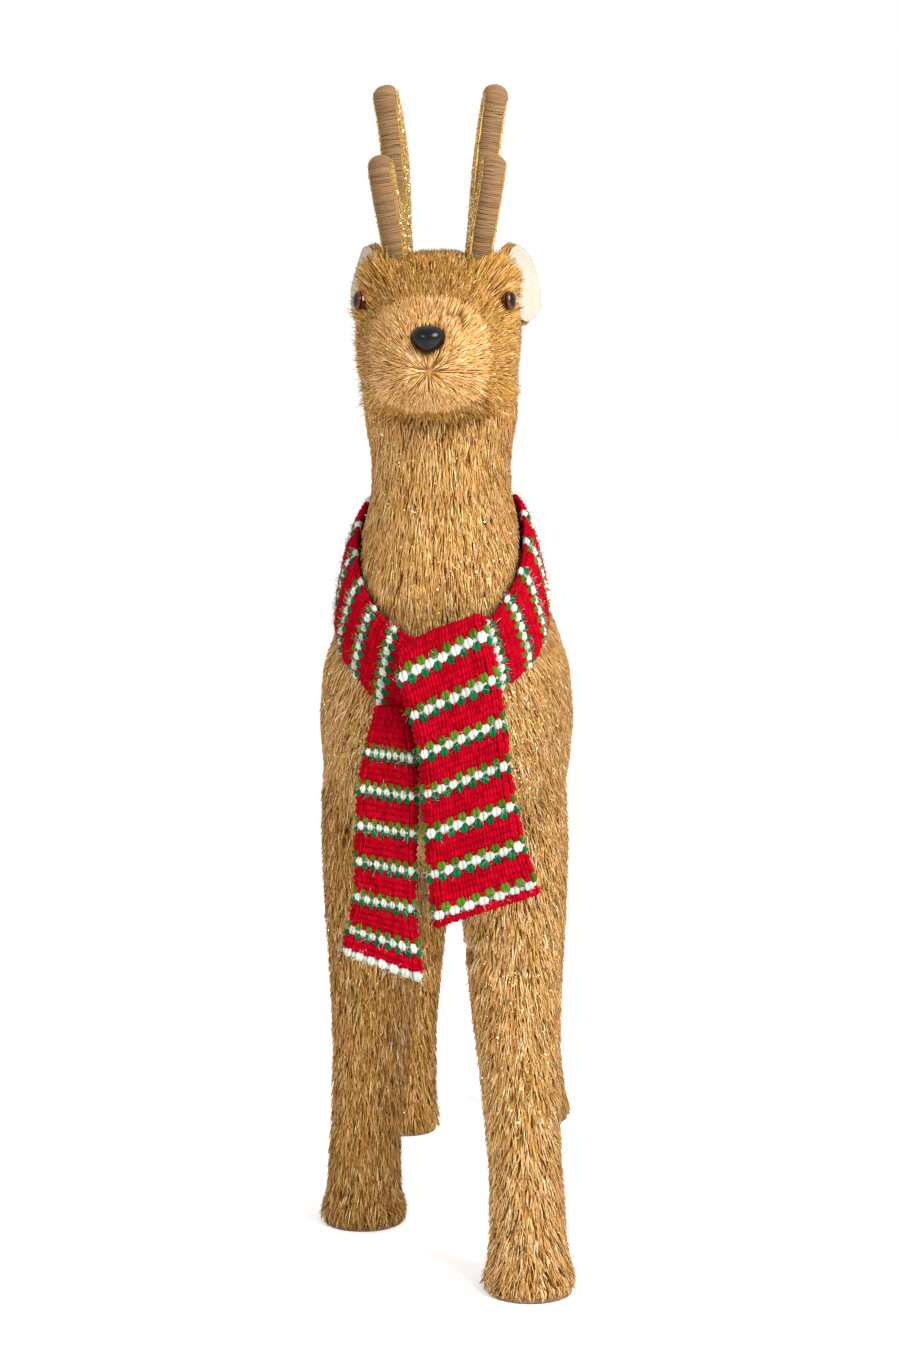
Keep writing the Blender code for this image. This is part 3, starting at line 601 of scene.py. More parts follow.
def add_straws(name, paths, normals, growth, nodes):
    """Pieces of straws, which stand for the nodes."""
    count = len(paths)
    shades = RNG.choice(len(growth.mix), count, p=np.array(growth.mix) / sum(growth.mix))
    taper = np.array((1.0, 1.0, 0.55)) * growth.half * MM * RNG.uniform(0.75, 1.2, (count, 1))
    groups = np.array_split(np.arange(count), math.ceil(count / MOST_STRAWS))
    for k, chosen in enumerate(groups):
        own = name if len(groups) == 1 else f"{name}_{k + 1}"
        half, up = taper[chosen], normals[chosen][:, None]
        look = list(STRAWS.values())
        piece = add_tubes(own, paths[chosen], half, FLATNESS * half, up, 3, look, shades[chosen])
        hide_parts(*nodes)


def grow_coats():
    """Straw over the whole figure, piece by piece."""
    densest = max(growth.density for growth in GROWTHS.values())
    roots, normals = skin.scatter(densest * 1e6)
    regions = regions_of(roots)
    draw = RNG.random(len(roots)) * densest
    coats = dict.fromkeys(("muzzle", "ring", "face", "crown"), "head_coat")
    coats.update(neck="neck_coat", tail="tail_tuft")
    coats.update(dict.fromkeys(("chest", "flanks", "rump"), "torso_coat"))
    coats.update({leg + "_leg": leg + "_leg_coat" for leg in LEGS})
    for region, node in coats.items():
        growth = GROWTHS[region.removeprefix("front_").removeprefix("rear_")]
        chosen = (regions == region) & (draw < growth.density)
        starts, ups = roots[chosen], normals[chosen]
        paths = lay_straws(skin, starts, ups, growth.flow(starts), growth)
        if node == "head_coat":
            clear = np.min([hard_surface.depth(paths[:, ring]) for ring in (1, 2)], axis=0) > CLEAR
            paths, ups = paths[clear], ups[clear]
        if region in HEAD_RINGS:
            paths = cut_at_ring(paths, HEAD_RINGS[region])
        if region.endswith("_leg"):
            paths = cut_flush(paths)
        add_straws("straw_" + region, paths, ups, growth, [node])


def add_underlay():
    """The matted straw that shows between the loose ones, darker than they are as painted shade in the gaps.
    """
    points = skin.points - UNDERLAY_DEPTH * skin.normals
    points[:, 2] = np.maximum(points[:, 2], HOOF_CUT)
    piece = add_piece("straw_matting", points, skin.triangles, [MATERIALS["matted_straw"]], 0)
    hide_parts(*COATS)


grow_coats()
add_underlay()

# ---- glitter caught in the straw
GLITTER_PATCHES = (  # middle, spread and number of flakes
    ((-0.03, -0.19, 0.52), 0.02, 168),
    ((0.012, -0.19, 0.47), 0.025, 216),
    ((-0.02, -0.19, 0.45), 0.02, 144),
    ((0.06, -0.19, 0.36), 0.022, 384),
    ((0.045, -0.2, 0.315), 0.018, 216),
    ((-0.068, -0.16, 0.37), 0.022, 264),
    ((0.05, -0.19, 0.205), 0.026, 408),
    ((0.06, -0.18, 0.14), 0.02, 144),
    ((-0.062, -0.11, 0.215), 0.024, 216),
    ((-0.052, -0.08, 0.13), 0.02, 96),
    ((0.076, -0.02, 0.39), 0.035, 288),
    ((-0.076, 0.06, 0.37), 0.035, 288),
    ((0.0, 0.08, 0.43), 0.04, 288),
    ((0.055, 0.2, 0.33), 0.03, 216),
    ((-0.045, 0.2, 0.26), 0.03, 192),
    ((0.0, -0.09, 0.56), 0.025, 144),
)
FLAKE_CORNERS = 6
FLAKE_RADII = (0.25, 0.55)  # millimetres


def flakes(centres, normals, radii):
    """Small flat hexagons, and their triangles."""
    side = unit(np.cross(normals, RNG.normal(0, 1, normals.shape)))
    other = np.cross(normals, side)
    angles = TURN * np.arange(FLAKE_CORNERS) / FLAKE_CORNERS
    spokes = np.cos(angles)[None, :, None] * side[:, None] + np.sin(angles)[None, :, None] * other[:, None]
    points = centres[:, None] + radii[:, None, None] * spokes
    fan = np.array([(0, k, k + 1) for k in range(1, FLAKE_CORNERS - 1)])
    triangles = FLAKE_CORNERS * np.arange(len(centres))[:, None, None] + fan
    return points.reshape(-1, 3), triangles.reshape(-1, 3)


def add_flakes(name, centres, normals, tilt):
    """Gold flakes on a surface, each tilted at random and of one of two golds."""
    radii = MM * RNG.uniform(*FLAKE_RADII, len(centres))
    points, triangles = flakes(centres, unit(normals + RNG.normal(0, tilt, normals.shape)), radii)
    shades = np.repeat(RNG.integers(0, 2, len(centres)), FLAKE_CORNERS - 2)
    look = [MATERIALS["flake"], MATERIALS["pale_flake"]]
    return add_piece(name, points, triangles, look, shades, smooth=False)


def add_straw_glitter():
    spots = [RNG.normal(middle, spread, (number, 3)) for middle, spread, number in GLITTER_PATCHES]
    places, normals, _ = skin.nearest(np.concatenate(spots))
    lift = MM * RNG.uniform(0.8, 2.8, (len(places), 1))
    add_flakes("straw_glitter", places + lift * normals, normals, 0.8)


add_straw_glitter()

# ---- eyes and nose
EYE_LOOKS = Vector((0.94, -0.33, 0.08))
EYE_RADIUS, EYE_HEIGHT = 0.0060, 0.0033
PUPIL_SHARE = 0.80  # of the eye's radius
NOSE_TIP = -0.2765
NOSE_MIDDLE = 0.5990
NOSE_HALF_WIDE, NOSE_HALF_HIGH = 0.0097, 0.0081


def add_dome(name, place, way, reach, slot, replaced=None):
    """A cap of the eye's dome, out to an angle from its middle."""
    angles = np.linspace(reach, 0.02, 12)
    grow = 1.0 if replaced else 1.012
    path = place + np.outer(grow * EYE_HEIGHT * np.cos(angles), way)
    radii = grow * EYE_RADIUS * np.sin(angles)[None]
    up = np.array((0.0, 0.0, 1.0))
    dome = add_tubes(name, path[None], radii, radii, up, 32, [MATERIALS[slot]], 0)
    if replaced:
        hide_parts(replaced)


def add_eyes():
    for name, side in SIDES.items():
        place = EYE_AT * (side, 1, 1)
        way = np.array((EYE_LOOKS * Vector((side, 1, 1))).normalized())
        add_dome(name + "_iris", place, way, math.pi / 2, "amber", name + "_eye_lens")
        add_dome(name + "_pupil", place, way, math.asin(PUPIL_SHARE), "black_plastic")


def add_nose():
    """A plump rounded triangle with its point down."""
    angles = TURN * np.arange(40) / 40
    plump = 1 + 0.065 * np.sin(3 * angles)
    turn = np.linspace(0.03, math.pi / 2, 14)
    sizes = np.concatenate([np.sin(turn), [0.96, 0.82, 0.6]])
    reach = np.concatenate([np.cos(turn) * 0.0095, [-0.0015, -0.0028, -0.0036]])
    rings = np.empty((1, len(sizes), len(angles), 3))
    rings[0, :, :, 0] = NOSE_HALF_WIDE * sizes[:, None] * plump * np.cos(angles)
    rings[0, :, :, 1] = (NOSE_TIP + 0.0095) - reach[:, None]
    rings[0, :, :, 2] = NOSE_MIDDLE + NOSE_HALF_HIGH * sizes[:, None] * plump * np.sin(angles)
    points, triangles, _ = skin_rings(rings)
    nose = add_piece("glossy_nose", points, triangles, [MATERIALS["black_plastic"]], 0)
    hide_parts("nose")


add_eyes()
add_nose()

# ---- antlers
ANTLER_THICK = 0.0142
ANTLER_BASE = Vector((0.0245, -0.176, 0.6470))
ANTLER_LEAN, ANTLER_TURN = math.radians(8), math.radians(12)
ANTLER = (  # back and up from the base
    *((-0.0105, -0.001), (-0.012, 0.018), (-0.0155, 0.036), (-0.0175, 0.052), (-0.016, 0.061)),
    *((-0.01, 0.065), (-0.004, 0.061), (-0.002, 0.05), (0.0015, 0.038), (0.0055, 0.04)),
    *((0.012, 0.055), (0.0165, 0.072), (0.017, 0.09), (0.015, 0.103), (0.02, 0.109)),
    *((0.028, 0.1085), (0.0325, 0.098), (0.0345, 0.08), (0.032, 0.058), (0.0245, 0.036)),
    *((0.016, 0.018), (0.0115, -0.001)),
)
BACK_UP_OUT = Matrix(((0, 0, 1), (1, 0, 0), (0, 1, 0))).to_4x4()
TWINE_PITCH, TWINE_RADIUS = 0.00115, 0.00070
TWINE_TURN = (0.0067, 0.0046)  # half as thick as the antler, and how far its rounded edge comes in
STRAYS = 260  # loose fibres to an antler
PANEL_FLAKES = 1.5e6  # to the square metre
CORD_INSET, CORD_RADIUS, CORD_STRAND, CORD_TWIST, CORD_STEP = 0.0056, 0.00050, 0.00055, 0.0030, 0.0007


def spline(stations, places):
    """The stations' values at places along them, on a smooth curve that passes through every station."""
    stations = np.asarray(stations, float)
    padded = np.concatenate([stations[:1], stations, stations[-1:]])
    i = np.clip(np.asarray(places).astype(int), 0, len(stations) - 2)
    t = (np.asarray(places) - i)[:, None]
    a, b, c, d = padded[i], padded[i + 1], padded[i + 2], padded[i + 3]
    return 0.5 * (2 * b + (c - a) * t + (2 * a - 5 * b + 4 * c - d) * t**2 + (3 * b - a - 3 * c + d) * t**3)


def distances(run):
    """How far along a run each of its points is."""
    return np.concatenate([[0], np.cumsum(np.linalg.norm(np.diff(run, axis=0), axis=1))])


def stepped(stations, step, width=3):
    """Places along the stations a step apart, measured on their first width values."""
    fine = np.linspace(0, len(stations) - 1, 60 * len(stations))
    travelled = distances(spline(stations, fine)[:, :width])
    count = round(travelled[-1] / step)
    return np.interp((np.arange(count) + 0.5) / count * travelled[-1], travelled, fine), travelled[-1]


def antler_frame(side):
    lean = Matrix.Rotation(side * ANTLER_LEAN, 4, "Y")
    turn = Matrix.Rotation(side * ANTLER_TURN, 4, "Z")
    base = Matrix.Translation(ANTLER_BASE * Vector((side, 1, 1)))
    return np.array(base @ lean @ turn @ BACK_UP_OUT)


def placed(frame_matrix, points):
    return points @ frame_matrix[:3, :3].T + frame_matrix[:3, 3]


def rim(step):
    """Points along the antler's edge, and the way out from each in the plane of the board."""
    places, _ = stepped(ANTLER, step, 2)
    points = spline(ANTLER, places)
    run = unit(np.gradient(points, axis=0))
    return points, np.stack([-run[:, 1], run[:, 0]], axis=1)


def add_twine(name, matrix):
    """One turn of twine after another across the antler's edge, and stray fibres that stand off it."""
    points, out = rim(TWINE_PITCH)
    count = len(points)
    turn = np.radians((-104, -88, -66, -44, -22, 0, 22, 44, 66, 88, 104))
    reach = -TWINE_TURN[1] * (1 - np.cos(turn))
    depth = -TWINE_TURN[0] * np.sin(turn)
    slant = RNG.normal(0, 0.00009, (count, 1)) + RNG.normal(0, 0.00011, (count, 1)) * np.sign(depth)
    run = np.stack([out[:, 1], -out[:, 0]], axis=1)
    wobble = RNG.normal(0, 0.00008, (count, len(reach)))
    flat = points[:, None] + (reach + wobble)[:, :, None] * out[:, None] + slant[:, :, None] * run[:, None]
    paths = np.concatenate([flat, np.broadcast_to(depth[None, :, None], (count, len(depth), 1))], axis=2)
    radii = TWINE_RADIUS * RNG.uniform(0.92, 1.1, (count, 1)) * np.ones(len(reach))
    up = np.concatenate([run, np.zeros((count, 1))], axis=1)[:, None]
    look = list(TWINES.values())
    shades = RNG.choice(len(look), count, p=(0.35, 0.45, 0.2))
    up = up @ matrix[:3, :3].T
    paths = placed(matrix, paths)
    twine = add_tubes(name + "_twine", paths, radii, radii, up, 6, look, shades)
    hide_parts(name + "_antler_jute")
    add_strays(name + "_strays", paths[:, 2:9].reshape(-1, 3))


def add_strays(name, starts):
    """Short loose fibres that stand off the twine."""
    chosen = starts[RNG.choice(len(starts), STRAYS, replace=False)]
    ways, bends = (unit(RNG.normal(0, 1, chosen.shape)) for _ in range(2))
    length = MM * RNG.uniform(1.5, 4.0, (len(chosen), 1))
    shades = RNG.integers(0, len(TWINES), len(chosen))
    add_fibres(name, chosen, ways, 0.5 * bends, length, 0.00007, list(TWINES.values()), shades)


def add_cords(name, matrix):
    """A two-strand cord along the inner border of the winding, on both faces."""
    points, out = rim(CORD_STEP)
    middle = points - CORD_INSET * out
    turn = TURN * np.arange(len(points)) * CORD_STEP / CORD_TWIST
    paths = []
    for face in (LEFT, RIGHT):
        for strand in (0, math.pi):
            flat = middle + CORD_RADIUS * np.cos(turn + strand)[:, None] * out
            high = face * (ANTLER_THICK / 2 - 0.0003) + CORD_RADIUS * np.sin(turn + strand)
            paths.append(np.concatenate([flat, high[:, None]], axis=1))
    paths = placed(matrix, np.array(paths))
    radii = np.full((1, len(points)), CORD_STRAND)
    up = matrix[:3, :3] @ np.array((0.0, 0.0, 1.0))
    add_tubes(name + "_cords", paths, radii, radii, up, 5, [MATERIALS["cord"]], [0] * 4)


def add_panel_glitter(name, matrix):
    """Flakes over both glitter panels."""
    for face in ("inner", "outer"):
        panel = Surface(NODES[f"{name}_antler_{face}_glitter"].data)
        outward = matrix[:3, 2] * SIDES[name] * (1 if face == "outer" else -1)
        places, normals = panel.scatter(PANEL_FLAKES)
        places = places[normals @ outward > 0.5]
        lift = MM * RNG.uniform(0.05, 0.45, (len(places), 1))
        normals = np.tile(outward, (len(places), 1))
        add_flakes(f"{name}_{face}_flakes", places + lift * outward, normals, 0.35)


def add_antlers():
    for name, side in SIDES.items():
        matrix = antler_frame(side)
        add_twine(name, matrix)
        add_cords(name, matrix)
        add_panel_glitter(name, matrix)


add_antlers()

# ---- ears
EAR_LENGTH, EAR_HALF, EAR_CUP = 0.062, 0.0255, 0.007
EAR_LINING_SIZE, EAR_LINING_LIFT, EAR_LINING_THICK = 0.93, 0.0039, 0.0012
EAR_MATTING_DEPTH, EAR_ROOT_DEPTH = 0.0006, 0.0012
EAR_FAN = 14  # how fast the straws spread from the ear's middle line, to the metre
EAR_ROOT = Vector((0.0375, -0.158, 0.6420))
EAR_ALONG = Vector((0.33, 0.89, -0.28))
EAR_OPENS = Vector((0.943, -0.318, 0.104))


def ear_frame(side):
    """Along the ear, across it, and out of its hollow."""
    flip = Vector((side, 1, 1))
    along = (EAR_ALONG * flip).normalized()
    across = (EAR_OPENS * flip).cross(along).normalized()
    turn = Matrix((along, across, along.cross(across))).transposed().to_4x4()
    return np.array(Matrix.Translation(EAR_ROOT * flip) @ turn)


def leaf(size, lift, rows, columns):
    """A cupped leaf as a grid of points, in the ear's own frame."""
    u, v = np.meshgrid(np.linspace(0.03, 0.985, rows), np.linspace(-1, 1, columns), indexing="ij")
    width = 0.10 + 0.90 * np.sin(math.pi * u**0.85) ** 0.6
    ripple = 0.0004 * np.sin(9 * u + 2 * v) * v**2
    hollow = lift - EAR_CUP * (1 - v * v) * np.sin(math.pi * u) + ripple
    return np.stack([EAR_LENGTH * (0.5 + (u - 0.5) * size), v * width * size * EAR_HALF, hollow], axis=-1)


def add_ears():
    for name, side in SIDES.items():
        matrix = ear_frame(side)
        face = leaf(EAR_LINING_SIZE, EAR_LINING_LIFT + EAR_LINING_THICK / 2, 40, 24)
        back = face - (0, 0, EAR_LINING_THICK)
        points, triangles, _ = grid_shell(placed(matrix, face), placed(matrix, back), closed=False)
        felt = add_piece(name + "_ear_felt", points, triangles, [MATERIALS["white_felt"]], 0)
        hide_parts(name + "_ear_lining")
        shell = Surface(NODES[name + "_ear_back"].data)
        points = shell.points - EAR_MATTING_DEPTH * shell.normals
        # the ear's matting has the same darker straw, painted shade under its loose straws
        look = [MATERIALS["matted_straw"]]
        matting = add_piece(name + "_ear_matting", points, shell.triangles, look, 0)
        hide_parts(name + "_ear_back")
        starts, ups = shell.scatter(GROWTHS["ear"].density * 1e6)
        outside = (ups @ matrix[:3, 2] < 0.35) & (skin.depth(starts) > -0.002)
        starts, ups = starts[outside], ups[outside]
        along, across, base = matrix[:3, 0], matrix[:3, 1], matrix[:3, 3]
        flow = np.tile(along, (len(starts), 1)) + EAR_FAN * (starts - base) @ across[:, None] * across
        paths = lay_straws(shell, starts, ups, flow, GROWTHS["ear"])
        paths[:, 0] += (ROOT_DEPTH - EAR_ROOT_DEPTH) * ups
        add_straws(name + "_ear_straw", paths, ups, GROWTHS["ear"], [name + "_ear_back"])


add_ears()

# ---- scarf
COLLAR_FRONT, COLLAR_BACK, COLLAR_SIDE_RISE = 0.394, 0.485, 0.0145
COLLAR_HALF, COLLAR_SIDE_HALF = 0.0165, 0.028
COLLAR_RUN = 0.452
KNOT_ANGLE, KNOT_SPREAD, KNOT_PULL = -0.33, 0.28, 0.005  # where the front end pulls the lower edge down
ROW_LEAN = 0.35  # how far the collar's rows turn square to its run
BED_RADIUS = 0.072
RUN_OUT = 0.004  # how far off the neck the collar's length is measured
SCARF_BED = np.array(  # height, middle y, half x and half y of the oval that the collar lies on
    (
        (0.366, -0.127, 0.069, 0.081),
        (0.395, -0.128, 0.0665, 0.0785),
        (0.42, -0.129, 0.063, 0.0755),
        (0.45, -0.133, 0.0575, 0.0695),
        (0.485, -0.141, 0.0495, 0.059),
        (0.52, -0.146, 0.0445, 0.051),
    )
)
FRONT_TAIL = (  # middle x, y, z, half width, and how much higher the left edge is
    (0.004, -0.2085, 0.4135, 0.0245, 0.008),
    (0.0042, -0.215, 0.418, 0.0245, 0.011),
    (0.0052, -0.222, 0.409, 0.0255, 0.013),
    (0.011, -0.2235, 0.388, 0.0252, 0.012),
    (0.0174, -0.2225, 0.355, 0.024, 0.01),
    (0.0214, -0.2195, 0.315, 0.0251, 0.009),
    (0.0262, -0.2175, 0.28, 0.0272, 0.0092),
    (0.0327, -0.2165, 0.248, 0.0304, 0.0105),
)
BACK_TAIL = (
    (-0.0265, -0.2105, 0.373, 0.008, 0.0),
    (-0.0272, -0.212, 0.3603, 0.01, -0.001),
    (-0.0281, -0.2125, 0.3397, 0.014, -0.002),
    (-0.0293, -0.212, 0.3146, 0.0162, -0.0025),
    (-0.0303, -0.2105, 0.2831, 0.0165, -0.003),
    (-0.0315, -0.2095, 0.2484, 0.017, -0.004),
    (-0.0328, -0.2085, 0.2098, 0.0232, -0.008),
)
ROW, BACK_ROW = 0.00425, 0.0039  # height of a row of stitches, and of one on the hanging end behind
COLUMNS = 13  # stitches across the scarf
STRIPES = ("red", "red", "red", "olive", "white", "green")  # every other olive and green stitch is red
YARN_NAMES, YARN_LOOKS = list(YARNS), list(YARNS.values())
PAIRS = {"red": ("red", "deep_red"), "white": ("white", "grey_white"), "green": ("green", "deep_green")}
PAIRS["olive"] = ("olive", "deep_olive")
CLOTH_HALF = 0.0016  # half the thickness of the cloth under the stitches
LEG_ALONG = np.array((-0.72, -0.38, 0.0, 0.38, 0.72))  # where a leg of a stitch runs, in rows
LEG_ACROSS = np.array((0.06, 0.19, 0.24, 0.19, 0.06))  # in columns
LEG_OUT = np.array((-1.6, 0.2, 0.9, 0.3, -1.5)) * MM
LEG_WIDE = np.array((0.12, 0.26, 0.31, 0.27, 0.12))
LEG_HIGH = np.array((0.5, 1.3, 1.7, 1.3, 0.5)) * MM
# how plump the stitches of the even and the odd columns are
PLUMP = {"red": (1.2, 1.2), "olive": (1.0, 1.3), "white": (1.45, 0.62), "green": (1.0, 1.3)}
PLACE_NOISE = 0.15  # millimetres
UNEVEN = (0.92, 1.08)  # the thinnest and the plumpest stitch of a kind
FUZZ, PALE_FUZZ, PALE_LENGTH = 8, 1.8, 1.35  # fibres to the stitch, and the share and length of those not red
FUZZ_LENGTH, FUZZ_RADIUS = (1.8, 4.2), 0.00008
FRAY = 130  # yarn ends
TOWARDS_WHITE = {"olive": 0.16, "green": -0.16}  # how far these stitches crowd the white row, in rows


def stripe_of(row, column, stripes):
    """The colour of each stitch, and how plump it is."""
    names = np.array(stripes)[row]
    plump = np.array([PLUMP[name][odd] for name, odd in zip(names.ravel(), column.ravel() % 2)])
    between = np.isin(names, ("olive", "green")) & (column % 2 == 0)
    return np.where(between, "red", names), plump


def shades_of(names):
    """A yarn shade for each stitch, one of the two of its colour."""
    pick = RNG.integers(0, 2, names.shape)
    return np.array([YARN_NAMES.index(PAIRS[name][k]) for name, k in zip(names.ravel(), pick.ravel())])


def add_knitting(name, grid, stripes, body):
    """A stitch of two yarn legs at each inner place of a grid (row, column, xyz), with fuzz standing off it.
    Its outside is where columns crossed with rows point."""
    along = (grid[2:, 1:-1] - grid[:-2, 1:-1]) / 2
    across = (grid[1:-1, 2:] - grid[1:-1, :-2]) / 2
    out = unit(np.cross(across, along))
    rows, columns = along.shape[:2]
    row, column = np.meshgrid(np.arange(rows), np.arange(columns), indexing="ij")
    names, plump = stripe_of(row, column, stripes)
    shades = shades_of(names)
    crowd = np.array([TOWARDS_WHITE.get(name, 0.0) for name in names.ravel()])[:, None]
    along, across, out = along.reshape(-1, 3), across.reshape(-1, 3), out.reshape(-1, 3)
    noise = MM * RNG.normal(0, PLACE_NOISE, (rows * columns, 3))
    centres = grid[1:-1, 1:-1].reshape(-1, 3) + crowd * along + noise
    width = np.linalg.norm(across, axis=1)[:, None]
    plump = plump[:, None] * RNG.uniform(*UNEVEN, (len(centres), 1))
    paths, wides, highs = [], [], []
    for side in (-1, 1):
        path = centres[:, None] + (plump**0.4 * LEG_ALONG)[:, :, None] * along[:, None]
        path = path + side * (plump * LEG_ACROSS)[:, :, None] * across[:, None]
        swell = RNG.uniform(*UNEVEN, (len(centres), 1))
        paths.append(path + (plump * LEG_OUT)[:, :, None] * out[:, None])
        wides.append(LEG_WIDE * width * plump * swell)
        highs.append(LEG_HIGH * plump * swell)
    up = np.concatenate([out, out])[:, None]
    paths, wides, highs = np.concatenate(paths), np.concatenate(wides), np.concatenate(highs)
    both = np.tile(shades, 2)
    stitches = add_tubes(name + "_stitches", paths, wides, highs, up, 6, YARN_LOOKS, both, body)
    return stitches, add_fuzz(name + "_fuzz", centres, out, shades, body)


def add_fuzz(name, centres, out, shades, body):
    """Fine fibres that stand off the yarn."""
    pale = np.array([not YARN_NAMES[shade].endswith("red") for shade in shades])
    chance = np.where(pale, PALE_FUZZ, 1.0)
    chosen = RNG.choice(len(centres), FUZZ * len(centres), p=chance / chance.sum())
    starts = centres[chosen] + 0.0015 * RNG.normal(0, 1, (len(chosen), 3))
    ways = unit(out[chosen] + RNG.normal(0, 0.7, (len(chosen), 3)))
    curl = RNG.normal(0, 0.5, (len(chosen), 3))
    length = MM * RNG.uniform(*FUZZ_LENGTH, (len(chosen), 1))
    length = length * np.where(pale[chosen], PALE_LENGTH, 1.0)[:, None]
    return add_fibres(name, starts, ways, curl, length, FUZZ_RADIUS, YARN_LOOKS, shades[chosen], body)


def add_cloth(name, outer, inner, closed, stripes, body):
    """The cloth under the stitches, striped row by row in each stripe's deeper shade, painted shade in the
    gaps between stitches.
    """
    points, triangles, quads = grid_shell(outer, inner, closed)
    steps = outer.shape[1] - 1
    names = np.array(stripes)[np.arange(quads) // steps % len(stripes)]
    gap_shades = np.array([YARN_NAMES.index(PAIRS[stripe][1]) for stripe in names])
    rest = np.full(len(triangles) // 2 - 2 * quads, YARN_NAMES.index("deep_red"))
    half = np.concatenate([gap_shades, gap_shades, rest])
    return add_piece(name, points, triangles, YARN_LOOKS, np.tile(half, 2), body)


def collar_places(angles, spread, out):
    """Points of the collar at angles round the neck, 0 at the chest, and at spread from -1 to 1 up its
    band."""
    side = np.sin(angles) ** 2
    from_knot = np.angle(np.exp(1j * (angles - KNOT_ANGLE)))
    pull = KNOT_PULL * np.exp(-((from_knot / KNOT_SPREAD) ** 2))
    middle = (COLLAR_FRONT + COLLAR_BACK) / 2 - (COLLAR_BACK - COLLAR_FRONT) / 2 * np.cos(angles) - pull
    half = COLLAR_HALF + (COLLAR_SIDE_HALF - COLLAR_HALF) * side + pull
    height = middle + COLLAR_SIDE_RISE * side + half * spread
    y, half_x, half_y = (np.interp(height, SCARF_BED[:, 0], SCARF_BED[:, k]) for k in (1, 2, 3))
    return np.stack([(half_x + out) * np.sin(angles), y - (half_y + out) * np.cos(angles), height], axis=-1)


def collar_grid(rows, spread, out):
    """Rows that cross the band squarely, evenly spaced round the neck."""
    fine = np.linspace(0, TURN, 721)
    travelled = distances(collar_places(fine, 0.0, RUN_OUT))
    angles = np.interp(np.arange(rows) / rows * travelled[-1], travelled, fine)
    rise = (COLLAR_BACK - COLLAR_FRONT) / 2 * np.sin(angles) + COLLAR_SIDE_RISE * np.sin(2 * angles)
    rise = rise / BED_RADIUS
    half = COLLAR_HALF + (COLLAR_SIDE_HALF - COLLAR_HALF) * np.sin(angles) ** 2
    lean = ROW_LEAN * (rise * half / BED_RADIUS)[:, None] * spread
    out = np.broadcast_to(out, (rows, len(spread)))
    return collar_places(angles[:, None] - lean, spread[None], out), travelled[-1]


def add_collar():
    repeats = round(COLLAR_RUN / ROW / len(STRIPES))
    rows = repeats * len(STRIPES)
    spread = np.linspace(1.0, -1.0, COLUMNS)
    cloth_out, length = collar_grid(rows, spread, 0.0050 - 0.0012 * spread**4)
    cloth_in, _ = collar_grid(rows, spread, 0.0012 - 0.0004 * spread**4)
    cloth = add_cloth("collar_cloth", cloth_out, cloth_in, True, STRIPES, "figure")
    spread = np.concatenate([[1.08, 1.06], np.linspace(0.94, -0.94, COLUMNS), [-1.06, -1.08]])
    out = 0.0056 - 0.0022 * np.abs(spread) ** 5
    out[[0, -1]] = 0.0005
    grid, _ = collar_grid(rows, spread, out)
    grid = np.concatenate([grid[-1:], grid, grid[:1]])
    pieces = add_knitting("collar", grid, STRIPES * repeats, "figure")
    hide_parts("scarf_collar")


def tail_frame(stations, row):
    """The middle of each row of a hanging end, the way to its left edge, and the way out of its front."""
    places, length = stepped(stations, row)
    rows = spline(stations, places)
    left = np.stack([rows[:, 3], np.zeros(len(rows)), rows[:, 4]], axis=1)
    down = np.gradient(rows[:, :3], axis=0)
    return rows[:, :3], left, unit(np.cross(down, left)), length


def end_stripes(rows, first, last):
    """The stripes of a hanging end: red above the first stripe, and its last rows' own."""
    cycle = STRIPES[3:] + STRIPES[:3]
    names = ["red"] * first + [cycle[k % len(cycle)] for k in range(rows - first)]
    return tuple(names[: rows - len(last)]) + last


# first: the row of its first stripe. last: its last rows. wave: how far it
# ripples. area: its flat area, where that isn't a rectangle's. frayed: the shades of its loose ends.
End = namedtuple("End", "stations row first last wave area frayed")
ENDS = {
    "front_tail": End(FRONT_TAIL, ROW, 4, ("olive", "white", "red"), 0.0006, None, ("red", "deep_red")),
    "back_tail": End(
        *(BACK_TAIL, BACK_ROW, 6, ("white",), 0.0008, 0.0053),
        frayed=("white", "grey_white", "white", "green", "deep_green"),
    ),
}


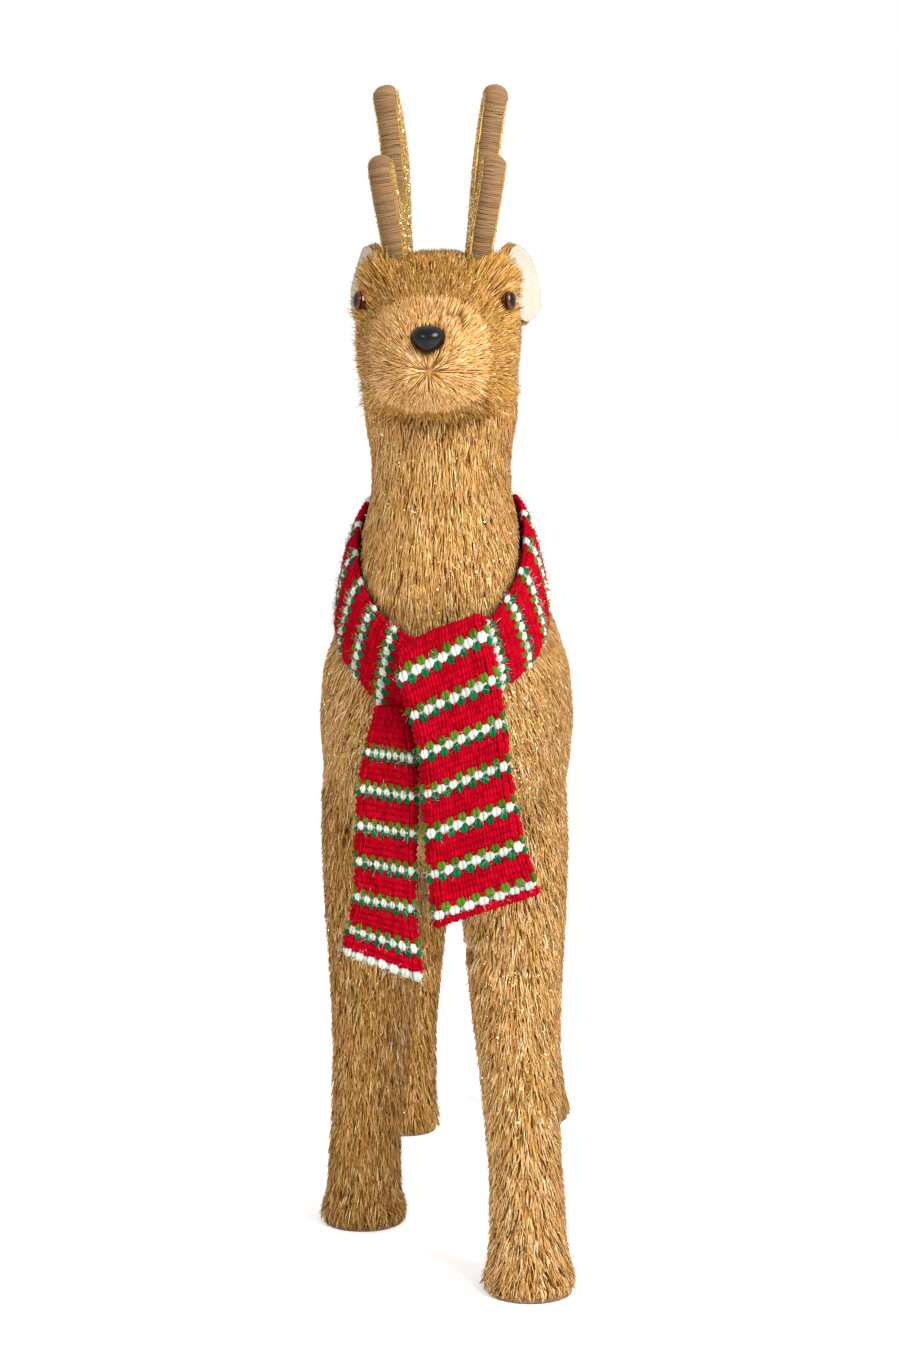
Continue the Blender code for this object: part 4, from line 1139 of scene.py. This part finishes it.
def add_scarf_end(name, end):
    """A hanging end: cloth, stitches round both its faces, fuzz, and a frayed lower edge."""
    middle, left, out, length = tail_frame(end.stations, end.row)
    stripes = end_stripes(len(middle), end.first, end.last)
    turn = np.linspace(0, 1, len(middle))
    sway = end.wave * np.sin(TURN * (2.2 * turn[:, None] + np.array(0.25)))

    def across(spread, depth):
        ripple = sway * np.cos(2.5 * spread[None] + 5 * turn[:, None])
        flat = middle[:, None] + spread[None, :, None] * left[:, None]
        return flat + (depth[None] + ripple)[:, :, None] * out[:, None]

    spread = np.linspace(0.97, -0.97, COLUMNS)
    thin = np.full(COLUMNS, CLOTH_HALF)
    cloth = add_cloth(name + "_cloth", across(spread, thin), across(spread, -thin), False, stripes, name)
    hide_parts("scarf_" + name)
    columns = np.linspace(0.93, -0.93, COLUMNS)
    spread = np.concatenate([columns, [-1.03], columns[::-1], [1.03]])
    depth = np.concatenate([np.full(COLUMNS, 0.0021), [0.0], np.full(COLUMNS, -0.0021), [0.0]])
    grid = across(spread, depth)
    grid = np.concatenate([2 * grid[:1] - grid[1:2], grid, 2 * grid[-1:] - grid[-2:-1]])
    grid = np.concatenate([grid[:, -1:], grid, grid[:, :1]], axis=1)
    pieces = [*add_knitting(name, grid, stripes, name), add_fray(name + "_fray", across, end.frayed, name)]


def add_fray(name, across, colours, body):
    """Loose yarn ends that hang from the last row."""
    spread = RNG.uniform(-0.98, 0.98, FRAY)
    edge = across(spread, np.zeros(FRAY))
    starts, above = edge[-1], edge[-3]
    down = unit(starts - above)
    length = MM * RNG.uniform(1.5, 6.0, (FRAY, 1))
    ways = unit(down + RNG.normal(0, 0.35, (FRAY, 3)))
    curl = RNG.normal(0, 0.6, (FRAY, 3))
    bends = [0.3 * length * ways, 0.65 * length * unit(ways + 0.4 * curl), length * unit(ways + curl)]
    paths = np.stack([starts - 0.002 * down] + [starts + bend for bend in bends], axis=1)
    radii = MM * RNG.uniform(0.25, 0.6, (FRAY, 1)) * np.array((1.0, 0.9, 0.7, 0.3))
    shades = RNG.choice([YARN_NAMES.index(colour) for colour in colours], FRAY)
    return add_tubes(name, paths, radii, radii, curl[:, None], 5, YARN_LOOKS, shades, body)


add_collar()
for end_name, scarf_end in ENDS.items():
    add_scarf_end(end_name, scarf_end)


# ---- carried-over nodes
def finish_nodes():
    """Each node that is still shown, or is hidden inside, gets its slot's own material."""
    for part in frame["record"]["subparts"]:
        slot = {"straw": "matted_straw", "knit": None}.get(part["material_slot"], part["material_slot"])
        if part["node"].endswith("_eye_back"):
            slot = "amber"  # its rim shows round the lens
        if slot:
            node = NODES[part["node"]]
            node.data.materials.clear()
            node.data.materials.append(MATERIALS[slot])


finish_nodes()
